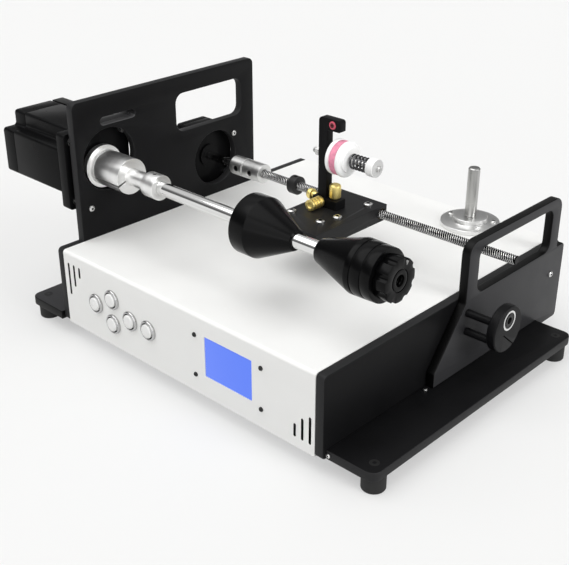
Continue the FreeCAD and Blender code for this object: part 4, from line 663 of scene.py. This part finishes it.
def motor(name, node, line, size, notch, under, parts, housing=False):
    """Motor along -X from its face, about the line. Every part is a slab across X: a plain
    square with rounded corners for the flange; for the rest a square with notched corners
    that ends at the distance under below the line. A housing for its cables may fill the
    upper rear notch."""
    y, z = line[1:]
    half, inner, x, pieces = size / 2, size / 2 - notch, motor_face, []
    front, near, far, rear = y - half, y - inner, y + inner, y + half
    low, lower, upper, top = z - under, z - inner, z + inner, z + half
    square = rectangle(front, z - half, rear, top, motor_corner, steps=6)
    cross = rounded([(*spot, motor_corner) for spot in (
        (near, low), (far, low), (far, lower), (rear, lower), (rear, upper), (far, upper),
        (far, top), (near, top), (near, upper), (front, upper), (front, lower), (near, lower))], 6)
    for order, length in enumerate(parts):
        x -= length
        pieces.append(slab([cross if order else square], (x, 0, 0), Y, Z, length,
                           soft_edge if order else thin_edge))
    if housing:
        box = rectangle(far, upper, rear, top,
                        motor_corner, tight_corner, motor_corner, tight_corner, steps=6)
        box_start = motor_face - parts[0] - box_gap
        pieces.append(slab([box], (x, 0, 0), Y, Z, box_start - x, thin_edge))
    solid(name, pieces, "base", motor_black, node)


motor("long_motor", "spindle_motor", spindle, size=70, notch=14, under=27.5,
      parts=(11, 67.9, 16.6), housing=True)
motor("short_motor", "traverse_motor", screw_line, size=62, notch=12.5, under=31, parts=(8, 9.4, 6.6))
dress("motor_bosses", motor_black)
dress("motor_bolts", bright_steel)

# -------------------------------------------------------------------------- winding shaft
# Turned aluminium hub with a locating ring, a ring groove and a clamp slit, a long neck and
# a collar, on a ground and polished 12 mm steel shaft. The turned pieces keep lathe rings.
turned_x = surface("turned_aluminium", (0.86, 0.86, 0.85), 0.33, 0.36, metal=1.0, scale=180,
                   relief=0.000001, tint=0.05, turned=("X", *place(spindle)[1:]), fine=1600)
ground_steel = surface("ground_steel", (0.74, 0.74, 0.735), 0.06, 0.10, metal=1.0, scale=120,
                       tint=0.04, stretch=(0.1, 1, 1))
hub_rear, ring_end, groove_start, groove_end, hub_end, neck_end = -8.4, -3, 0.5, 1.7, 35, 59
ring_radius, hub_radius, groove_radius, neck = 19.5, 16, 15.2, 7.6
slit_turn, slit_half, slit_start = math.radians(110), 1.0, 2.0


def slit(along, radius, turn):
    """Hub radius with the slit: inside |turn - slit| * radius < half width it is the neck's."""
    gap = np.abs(np.angle(np.exp(1j * (turn - slit_turn)))) * radius < slit_half + 1e-3
    return np.where(gap & (along > slit_start - 0.01) & (radius > neck), neck, radius)


half_turn = slit_half / hub_radius
wall_turns = slit_turn + half_turn * np.array((-1.02, -0.98, 0.98, 1.02))
fine_turns = np.unique(np.concatenate((np.linspace(0, 2 * math.pi, 96, endpoint=False), wall_turns)))
ring_rows = eased([(hub_rear, 5), (hub_rear, ring_radius), (ring_end, ring_radius), (ring_end, hub_radius),
                   (groove_start, hub_radius), (groove_start, groove_radius), (groove_end, groove_radius),
                   (groove_end, hub_radius), (slit_start - 0.02, hub_radius)], 0.25)
neck_rows = eased([(slit_start, hub_radius), (hub_end, hub_radius), (hub_end, neck), (neck_end, neck)], 0.35)
hub_profile = np.concatenate(([(hub_rear, 0)], ring_rows, neck_rows, [(neck_end, 6.2), (neck_end, 0)]))
solid("spindle_hub_turned", [lathe(hub_profile, spindle, X, shape=slit, angles=fine_turns)],
      "spindle", turned_x, "spindle_hub")


def cross_hole(x, half, inner, outer):
    """Shape function of a small round hole at t = 0 in the wall of a ring: points nearer to
    its middle than half drop to the inner radius."""
    def shape(along, radius, turn):
        side = np.angle(np.exp(1j * turn)) * radius
        near = (along - x) ** 2 + side ** 2 < half ** 2
        return np.where(near & (np.abs(radius - outer) < 0.2), inner, radius)
    return shape


def hole_rows(x, half, radius, steps=14):
    """Extra profile rows across a hole, close together at its edge."""
    return [(x + half * math.cos(t) * 1.04, radius) for t in np.linspace(math.pi, 0, steps)]


def hole_turns(half, radius, steps=14):
    """Evenly spread turns with extra ones across a hole at t = 0."""
    extra = np.linspace(-1.15, 1.15, 2 * steps) * half / radius
    return np.unique(np.mod(np.concatenate((np.linspace(0, 2 * math.pi, 72, endpoint=False), extra)),
                            2 * math.pi))


def drilled_collar(profile, line, x, radius, bottom, half=2.0):
    """Collar about a line along X with a set screw's hole at x on its upper side. The profile's
    fifth row is where its outer wall of the given radius begins."""
    rows = np.concatenate((profile[:5], hole_rows(x, half, radius), profile[5:], profile[:1]))
    return lathe(rows, line, X, angles=hole_turns(half, radius), shape=cross_hole(x, half, bottom, radius))


shaft_radius, collar_start, collar_end, collar_radius = 6, 59.5, 74.5, 11.0
collar_profile = eased([(collar_start, shaft_radius), (collar_start, collar_radius),
                        (collar_end, collar_radius), (collar_end, 6.6), (collar_end - 0.3, 6.05)], 0.35)
collar = drilled_collar(collar_profile, spindle, x=67.0, radius=collar_radius, bottom=8.6)
solid("spindle_collar_turned", [collar], "spindle", turned_x, "spindle_collar")
shaft_start, shaft_step, shaft_end, tip_radius, chamfer = 24, 285, 324, 4.3, 0.8
shaft_profile = eased([(shaft_start, 0), (shaft_start, shaft_radius - chamfer),
                       (shaft_start + chamfer, shaft_radius), (shaft_step, shaft_radius),
                       (shaft_step, tip_radius), (shaft_end - chamfer, tip_radius),
                       (shaft_end, tip_radius - chamfer), (shaft_end, 0)], 0.3, 3)
solid("polished_shaft", [lathe(shaft_profile, spindle, X)], "spindle", ground_steel, "winding_shaft")
dress("spindle_motor_shaft", ground_steel)
dress("traverse_motor_shaft", ground_steel)
dress("spindle_set_screws", black_steel)

# --------------------------------------------------------------------- cones, clamp knob
# Two turned black plastic cones clamp the bobbin. The right one slides, has two grip
# grooves, and a notched knob closes its collet on the shaft.
black_plastic = surface("black_plastic", (0.0022, 0.0022, 0.0024), 0.20, 0.26, scale=45, relief=0.000002,
                        tint=0.1, specular=0.10, fine=1800, turned=("X", *place(spindle)[1:]))
bore, narrow_bore = 6.05, 4.4
left_start, left_brim, left_nose, left_radius, nose_radius = 181.5, 196.5, 230.5, 24.7, 8.3
left_cone = eased([(left_start, bore), (left_start, left_radius), (left_brim, left_radius),
                   (left_nose, nose_radius), (left_nose, bore)], 0.5, 4)
right_nose, right_brim, right_end, collet_end, bore_end = 255, 294, 316.9, 324.3, 303.3
grip_grooves = [(298.5, 21.48), (298.5, 20.7), (299.5, 20.7), (299.5, 21.46),
                (308, 21.22), (308, 20.6), (309, 20.6), (309, 21.2)]
right_cone = eased([(right_nose, bore), (right_nose, 8.6), (right_nose + 1, 9.6), (right_brim, 21.6),
                    *grip_grooves, (right_end, 20.9), (right_end, 9.4), (collet_end, 8.5),
                    (collet_end, narrow_bore), (bore_end, narrow_bore), (bore_end, bore)], 0.3, 3)
left_body, right_body = (lathe(closed(line), spindle, X, steps=128) for line in (left_cone, right_cone))
solid("fixed_cone", [left_body], "spindle", black_plastic, "cone_left")
solid("sliding_cone", [right_body], "clamp_cone", black_plastic, "cone_right")

knob_start, knob_end, knob_radius, knob_hollow = 317.4, 328.4, 17.0, 9.85
notch_turn, notch_distance, notch_radius, cut_limit = math.pi / 4, 18.6, 3.2, 14.5


def notched(along, radius, turn):
    """Knob's outline: eight circles of the notch radius rho about points at the distance D
    cut the rim; the ray at angle q from a notch meets it at D cos q - sqrt(rho^2 - D^2 sin^2 q)."""
    q = np.mod(turn, notch_turn) - notch_turn / 2
    offset, uncut = notch_distance * np.sin(q), 99.0
    root = np.sqrt(np.clip(notch_radius ** 2 - offset ** 2, 0, None))
    cut = np.where(np.abs(offset) < notch_radius, notch_distance * np.cos(q) - root, uncut)
    return np.where(radius > cut_limit, np.minimum(radius, cut - (knob_radius - radius)), radius)


ring_outer, ring_inner, ring_depth, middle_hole, wall = 9.0, 8.1, 0.9, 4.6, 3
knob_profile = eased([(knob_start, knob_hollow), (knob_start, knob_radius), (knob_end, knob_radius),
                      (knob_end, ring_outer), (knob_end - ring_depth, ring_outer),
                      (knob_end - ring_depth, ring_inner), (knob_end, ring_inner), (knob_end, middle_hole),
                      (knob_end - wall, middle_hole), (knob_end - wall, knob_hollow)], 0.35, 3)
solid("notched_knob", [lathe(closed(knob_profile), spindle, X, 256, notched)],
      "clamp_knob", black_plastic, "star_knob")

pointer_outline = rounded([(61.6, 144.2, 0.3), (64.2, 147.0, 0.5), (60.8, 149.2, 0.5)], 4)
pointer_sunk, pointer_thick = 0.45, 0.5
white_nylon = surface("white_nylon", (0.90, 0.90, 0.89), 0.25, 0.35, scale=80, tint=0.03,
                      marked=(0.42, 0.42, 0.42))
pointer_grey = surface("white_nylon", (0.24, 0.24, 0.235), 0.35, 0.45, scale=80, tint=0.03)
pointer = slab([pointer_outline], (knob_end - pointer_sunk, 0, 0), Y, Z, pointer_thick, edge=0.1)
solid("knob_pointer", [pointer], "clamp_knob", pointer_grey)

# --------------------------------------------------------------------------- lead screw
# An 8 mm four-start trapezoidal screw drives the carriage. An aluminium coupling with a ring
# groove and two key screws joins it to the motor, and a black collar limits the travel.
# A darker copy of the turned aluminium for the coupling: painted shade, standing for its darker reflections.
shaded_coupling_metal = surface("turned_aluminium", (0.68, 0.68, 0.67), 0.32, 0.36, metal=1.0, scale=180,
                       relief=0.000001, tint=0.05, turned=("X", *place(screw_line)[1:]), fine=1600)
coupling_start, joint_start, joint_end, coupling_end = 28.5, 43.8, 45.2, 67
coupling_radius, joint_radius = 9.2, 7.8
key_places, pocket_radius, pocket_floor, key_seat = (36.7, 55.0), 2.95, 8.3, 8.35
coupling = eased([(coupling_start, 4.1), (coupling_start, coupling_radius), (joint_start, coupling_radius),
                  (joint_start, joint_radius), (joint_end, joint_radius), (joint_end, coupling_radius),
                  (coupling_end, coupling_radius), (coupling_end, 4.6), (coupling_end - 0.4, 4.1)], 0.6, 4)


def key_pockets(along, radius, turn):
    """Two round pockets in the coupling's front, where t = 90 degrees, for its key screws."""
    side = np.angle(np.exp(1j * (turn - math.pi / 2))) * radius
    for x in key_places:
        inside = (along - x) ** 2 + side ** 2 < pocket_radius ** 2
        radius = np.where(inside & (radius > coupling_radius - 0.2), pocket_floor, radius)
    return radius


coupling_rows = []
for row in closed(coupling):
    if coupling_rows and row[0] - coupling_rows[-1][0] > 3 and row[1] > coupling_radius - 0.2:
        steps = np.linspace(coupling_rows[-1][0], row[0], 60)[1:-1]
        coupling_rows += [(x, coupling_radius) for x in steps]
    coupling_rows.append(tuple(row))
solid("coupling_body", [lathe(coupling_rows, screw_line, X, 160, key_pockets)],
      "lead", shaded_coupling_metal, "shaft_coupling")
# Its marked colour is painted shade in the key screws' sockets.
key_steel = surface("bright_steel", (0.05, 0.05, 0.05), 0.3, 0.4, metal=1.0, scale=300, tint=0.08,
                    marked=(0.004, 0.004, 0.004))
key_seats = [((x, screw_line[1] - key_seat, screw_line[2]), -Y) for x in key_places]
screw_set("coupling_keys", [(key_seats, (2.75, 0.5, 1.5), False)], "lead", key_steel, "lead_set_screws")
thread_low, thread_high, pitch, starts, crest, slope = 3.35, 4.0, 2.0, 4, 1.6, 4.6


def threaded(along, radius, turn):
    """Trapezoidal thread: with p = frac(x / pitch - starts * t / 2 pi) the radius is the
    clipped triangle low + (high - low) * clip(crest - slope * |p - 0.5|, 0, 1)."""
    phase = np.mod(along / pitch - starts * turn / (2 * math.pi), 1.0)
    tooth = np.clip(crest - slope * np.abs(phase - 0.5), 0, 1)
    return np.where(radius > thread_high - 0.1, thread_low + (thread_high - thread_low) * tooth, radius)


screw_start, screw_end, thread_steps = 50, 343, 1180
thread_rows = [(screw_start, 0), (screw_start, 3.2)]
thread_rows += [(x, thread_high) for x in np.linspace(screw_start + 0.6, screw_end - 0.8, thread_steps)]
thread_rows += [(screw_end, 3.0), (screw_end, 0)]
# The marked colour is painted shade in the thread's grooves.
thread_steel = surface("ground_steel", (0.92, 0.92, 0.915), 0.20, 0.26, metal=1.0, scale=120, tint=0.04,
                       marked=(0.004, 0.004, 0.004))


def shaded_thread_grooves(centre, normal):
    """Painted shade in the thread: 1 in the lower half of the groove, 0 close to its crest."""
    clean, fade = thread_high - 0.04, 0.25
    away = np.hypot(centre[:, 1] - screw_line[1], centre[:, 2] - screw_line[2])
    return np.clip((clean - away) / fade, 0, 1)


mark(solid("threaded_screw", [lathe(thread_rows, screw_line, X, 32, threaded)],
           "lead", thread_steel, "lead_screw"), shaded_thread_grooves)
stop_start, stop_end, stop_radius, stop_bore = 103.5, 112, 8.6, 4.1
stop_profile = eased([(stop_start, stop_bore), (stop_start, stop_radius), (stop_end, stop_radius),
                      (stop_end, stop_bore)], 0.6)
stop = drilled_collar(stop_profile, screw_line, x=107.75, radius=stop_radius, bottom=6.5)
solid("stop_collar", [stop], "lead", black_steel, "screw_collar")

# ---------------------------------------------------------------------- carriage, guide
# Black anodised block on nylon glides with bright screws, a slotted foot, and the guide bar
# whose hook carries the red eyelet. Three brass thumbscrews clamp foot and bar; the front
# one has grip grooves.
brass = surface("brass", (1.0, 0.80, 0.30), 0.38, 0.46, metal=1.0, scale=150, relief=0.000001, tint=0.04)
# The ruby's marked colour is painted shade in the eyelet's mouth and hole.
ruby = surface("ruby", (0.62, 0.08, 0.13), 0.14, 0.2, scale=100, tint=0.08, marked=(0.10, 0.003, 0.01))
softened("carriage_plate", "carriage_block", lit_block_paint, width=0.5)
dress("carriage_glides", white_nylon)
# The lead nut gets a dark copy of the brass: painted shade, for its end inside the block's shadowed hole.
dress("lead_nut", surface("brass", (0.10, 0.075, 0.03), 0.45, 0.55, metal=1.0, scale=150, tint=0.04))
block_top, carriage_spots = 116.5, [(159.0, 126.0), (192.0, 125.5), (196.5, 142.0), (197.5, 181.5)]
carriage_seats = [((x, y, block_top), Z) for x, y in carriage_spots]
screw_set("carriage_screw_set", [(carriage_seats, (3.9, 1.8, 1.6), False)],
          "carriage", bright_steel, "carriage_screws")
softened("bar_foot", "guide_foot", black_plate, width=0.5)

bar_left, bar_right, hook_right, bar_low, hook_low, bar_top = 164, 173.6, 187.2, 116.9, 184.8, 195
bar_rear, bar_depth, eye_x, eye_z, hole_radius = 161.1, 7.6, 179, 189.9, 3.55
bar_outline = rounded([(bar_left, bar_low, 0.4), (bar_right, bar_low, 0.4), (bar_right, hook_low, 1.0),
                       (hook_right, hook_low, 1.5), (hook_right, bar_top, 2.5), (bar_left, bar_top, 3.5)])
bar = slab([bar_outline, circle(eye_x, eye_z, hole_radius, 40)], (0, bar_rear, 0), X, Z, bar_depth, 0.5)
solid("hooked_bar", [bar], "guide", black_plate, "guide_bar")
eye_front, eye_rear, wire_radius, mouth_radius, rim_radius, eye_radius = 153.0, 161.6, 0.9, 2.1, 3.0, 3.5
eyelet = eased([(eye_front, wire_radius), (eye_front, mouth_radius), (eye_front, rim_radius),
                (eye_front + 0.35, eye_radius), (eye_rear - 0.25, eye_radius), (eye_rear, rim_radius),
                (eye_rear, wire_radius)], 0.3)


def shaded_eyelet_mouth(centre, normal):
    """1 on the eyelet's mouth and in its hole: painted shade."""
    return np.hypot(centre[:, 0] - eye_x, centre[:, 2] - eye_z) < mouth_radius


mark(solid("red_eyelet", [lathe(closed(eyelet), (eye_x, 0, eye_z), Y, 40)], "guide", ruby, "wire_eyelet"),
     shaded_eyelet_mouth)


def thumb(seat, axis, radius, length, neck_length, neck_radius, grooves=()):
    """Thumbscrew head on its neck, with ring grooves at shares of its length and a dimple in
    its end, or domed by a quarter circle where it has no grooves."""
    width, depth, dome_radius = 0.9, 0.8, 2.6
    line = [(-neck_length, 0), (-neck_length, neck_radius), (0, neck_radius), (0, radius)]
    for share in grooves:
        end = length * share
        start, bottom = end - width, radius - depth
        line += [(start, radius), (start, bottom), (end, bottom), (end, radius)]
    if not grooves:
        line += [(length - dome_radius * (1 - math.sin(t)), radius - dome_radius * (1 - math.cos(t)))
                 for t in np.linspace(0, math.pi / 2, 8)[:-1]]
        return lathe(eased(line, 0.3, 3).tolist() + [(length, 0)], seat, axis, 48)
    line += [(length, radius), (length, radius * 0.5), (length - width, radius * 0.42),
             (length - width, 0)]
    return lathe(eased(line, 0.35, 3), seat, axis, 48)


middle_y, thumb_z = 157.3, 121.8
foot_front, foot_left, foot_top, gap, side_gap = 151, 160.5, 124.5, 1.6, 5.0
front_thumb = thumb((170.5, foot_front - gap, thumb_z), -Y, radius=5.0, length=13.5, neck_length=1.3,
                    neck_radius=3.0, grooves=(0.3, 0.55, 0.8))
side_thumb = thumb((foot_left - side_gap, middle_y, thumb_z), -X, radius=4.8, length=5.5,
                   neck_length=4.7, neck_radius=2.9)
top_thumb = thumb((180.4, middle_y, foot_top + gap), Z, radius=5.1, length=12.0, neck_length=1.3,
                  neck_radius=3.0)
solid("brass_front", [front_thumb], "thumb_front", brass, "thumbscrew_front")
solid("brass_side", [side_thumb], "thumb_side", brass, "thumbscrew_side")
solid("brass_top", [top_thumb], "thumb_top", brass, "thumbscrew_top")

# ----------------------------------------------------------------------------- tensioner
# Two white ceramic discs press a pink felt ring and a washer; a coil spring and a white
# knob on the long bolt set the pressure. The wire runs round the felt.
white_ceramic = surface("white_ceramic", (0.98, 0.98, 0.975), 0.16, 0.24, scale=40, tint=0.01, specular=0.6)
pink_felt = surface("pink_felt", (0.80, 0.30, 0.42), 0.85, 0.95, scale=400, relief=0.00012, tint=0.12,
                    specular=0.15, fine=2500)
spring_steel = surface("spring_steel", (0.09, 0.09, 0.095), 0.18, 0.24, metal=1.0, scale=200, tint=0.1)
axis_point = (0, middle_y, 163.0)
stack = 180.3
felt_start, second, washer = stack + 4.1, stack + 10.4, stack + 14.5
spring_start = washer + 2.8
knob_x = spring_start + 19.8
bolt_bore, disc_radius, disc_thick, bevel = 2.6, 15.3, 4.1, 1.0
disc = [(0, bolt_bore), (0, disc_radius - bevel), (bevel, disc_radius), (disc_thick - bevel, disc_radius),
        (disc_thick, disc_radius - bevel), (disc_thick, bolt_bore)]


def ring_solid(line, start, size=0.5, steps=96):
    """Closed ring of revolution about the tensioner's bolt from an open profile line."""
    return lathe(closed(eased(line, size)), np.add(axis_point, (start, 0, 0)), X, steps)


def band(inner, outer, length):
    """Open profile line of a plain ring from 0 to its length."""
    return [(0, inner), (0, outer), (length, outer), (length, inner)]


washer_line, felt_line = band(bolt_bore, 10.8, 2.5), band(bolt_bore, 14.8, 6.3)
solid("white_discs", [ring_solid(disc, stack), ring_solid(disc, second), ring_solid(washer_line, washer)],
      "discs", white_ceramic, "tension_discs")
solid("felt_ring", [ring_solid(felt_line, felt_start, size=1.2)], "discs", pink_felt, "tension_felt")


def nut_flats(along, radius, turn):
    """Outline of the hexagonal nut, whose corners lie at 1.15 times the profile's radius."""
    return hexagon(radius, turn) * 1.15


bolt_start, bolt_end, bolt_radius = 156.5, knob_x + 10.3, 2.5
bolt = eased([(bolt_start, 0), (bolt_start, 2.1), (bolt_start + 0.4, bolt_radius),
              (knob_x + 9.9, bolt_radius), (bolt_end, 2.0), (bolt_end, 0)], 0.3, 3)
nut_start, nut_end, nut_radius = 160.5, 164, 3.9
nut = [(nut_start, 0), (nut_start, nut_radius), (nut_end, nut_radius), (nut_end, 0)]
sleeve_start, sleeve_end, sleeve_radius = 173.6, 180.0, 4.5
sleeve = eased([(sleeve_start, 0), (sleeve_start, sleeve_radius), (sleeve_end, sleeve_radius),
                (sleeve_end, 0)], 0.3)
solid("long_bolt", [lathe(bolt, axis_point, X), lathe(nut, axis_point, X, 48, nut_flats),
                    lathe(sleeve, axis_point, X)], "guide", bright_steel, "tension_bolt")


knob_length, knob_line = 7.5, band(2.55, 7.9, 7.5)


def knob_end_face(centre, normal):
    """The white knob's end face looks greyer than its side: 0.6 there."""
    return (centre[:, 0] > knob_x + knob_length - 0.2) * 0.6


mark(solid("white_nut", [ring_solid(knob_line, knob_x, size=0.9)],
           "tension_nut", white_nylon, "tension_knob"), knob_end_face)


def coil(start, radius, wire, length, turns, steps=420, sides=12):
    """Spring wire: a circle of radius wire carried along the helix (x, r cos t, r sin t), with
    the wire's own frame from the outward and the along-helix directions; ends drawn to a point."""
    t = np.linspace(0, 2 * math.pi * turns, steps)
    run = np.linspace(wire, length - wire, steps)
    out = np.stack((np.zeros_like(t), np.cos(t), np.sin(t)), -1)
    centre = np.stack((run, radius * np.cos(t), radius * np.sin(t)), -1)
    ahead = np.gradient(centre, axis=0)
    ahead /= np.linalg.norm(ahead, axis=1)[:, None]
    side = np.cross(ahead, out)
    s = np.linspace(0, 2 * math.pi, sides, endpoint=False)
    size = np.full(steps, wire)
    size[0] = size[-1] = 0.0
    grid = centre[:, None] + size[:, None, None] * (np.cos(s)[None, :, None] * out[:, None]
                                                    + np.sin(s)[None, :, None] * side[:, None])
    return grid.reshape(-1, 3) + np.add(axis_point, (start, 0, 0)), quads(steps, sides)


spring = coil(spring_start, radius=5.6, wire=0.85, length=19.5, turns=5)
solid("coil_spring", [spring], "guide", spring_steel, "tension_spring")

# ------------------------------------------------------------------- spool post, side disc
# A flanged aluminium boss holds the upright steel pin for the supply spool. On the handle
# plate two black rods carry a black disc with a small ball bearing.
turned_post = surface("turned_aluminium", (0.80, 0.80, 0.79), 0.27, 0.31, metal=1.0, scale=180,
                      relief=0.000001, tint=0.04, turned=("Z", *place((*post_place, 0))[:2]), fine=1600,
                      marked=(0.46, 0.46, 0.45))
post_foot = (*post_place, case_height)
plinth_radius, boss_radius, boss_height = 27.5, 16, 9
pin_neck, pin_radius, pin_height, pin_chamfer = 5.0, 5.5, 56, 1
boss_profile = eased([(0, 0), (0, plinth_radius), (plinth_height, plinth_radius),
                      (plinth_height, boss_radius), (boss_height, boss_radius), (boss_height, 5.6),
                      (boss_height, 0)], 0.7)
pin_profile = eased([(0, 0), (0, pin_neck), (boss_height + 0.2, pin_neck), (boss_height + 0.2, pin_radius),
                     (pin_height - pin_chamfer, pin_radius), (pin_height, pin_radius - pin_chamfer),
                     (pin_height, 0)], 0.2)


def pin_faces(centre, normal):
    """1 on the pin above the boss, because its steel is darker than the boss."""
    return centre[:, 2] > case_height + boss_height + 0.1


post = [lathe(boss_profile, post_foot, Z, 96), lathe(pin_profile, post_foot, Z)]
mark(solid("post_and_flange", post, "base", turned_post, "spool_post"), pin_faces)
softened("bearing_carrier", "bearing_disc", black_plate, width=0.5)
rod_start, rod_end, rod_radius = 311, 341.7, 3.3
rod_profile = [(rod_start, 0), (rod_start, rod_radius), (rod_end, rod_radius), (rod_end, 0)]
rods = [lathe(rod_profile, (0, y, z), X) for y, z in ((165.2, 61.5), (165.5, 44.5))]
solid("carrier_rods", rods, "base", black_plate, "bearing_disc_rods")
dress("side_bearing_ring", ground_steel)
dress("side_bearing_hub", black_steel)
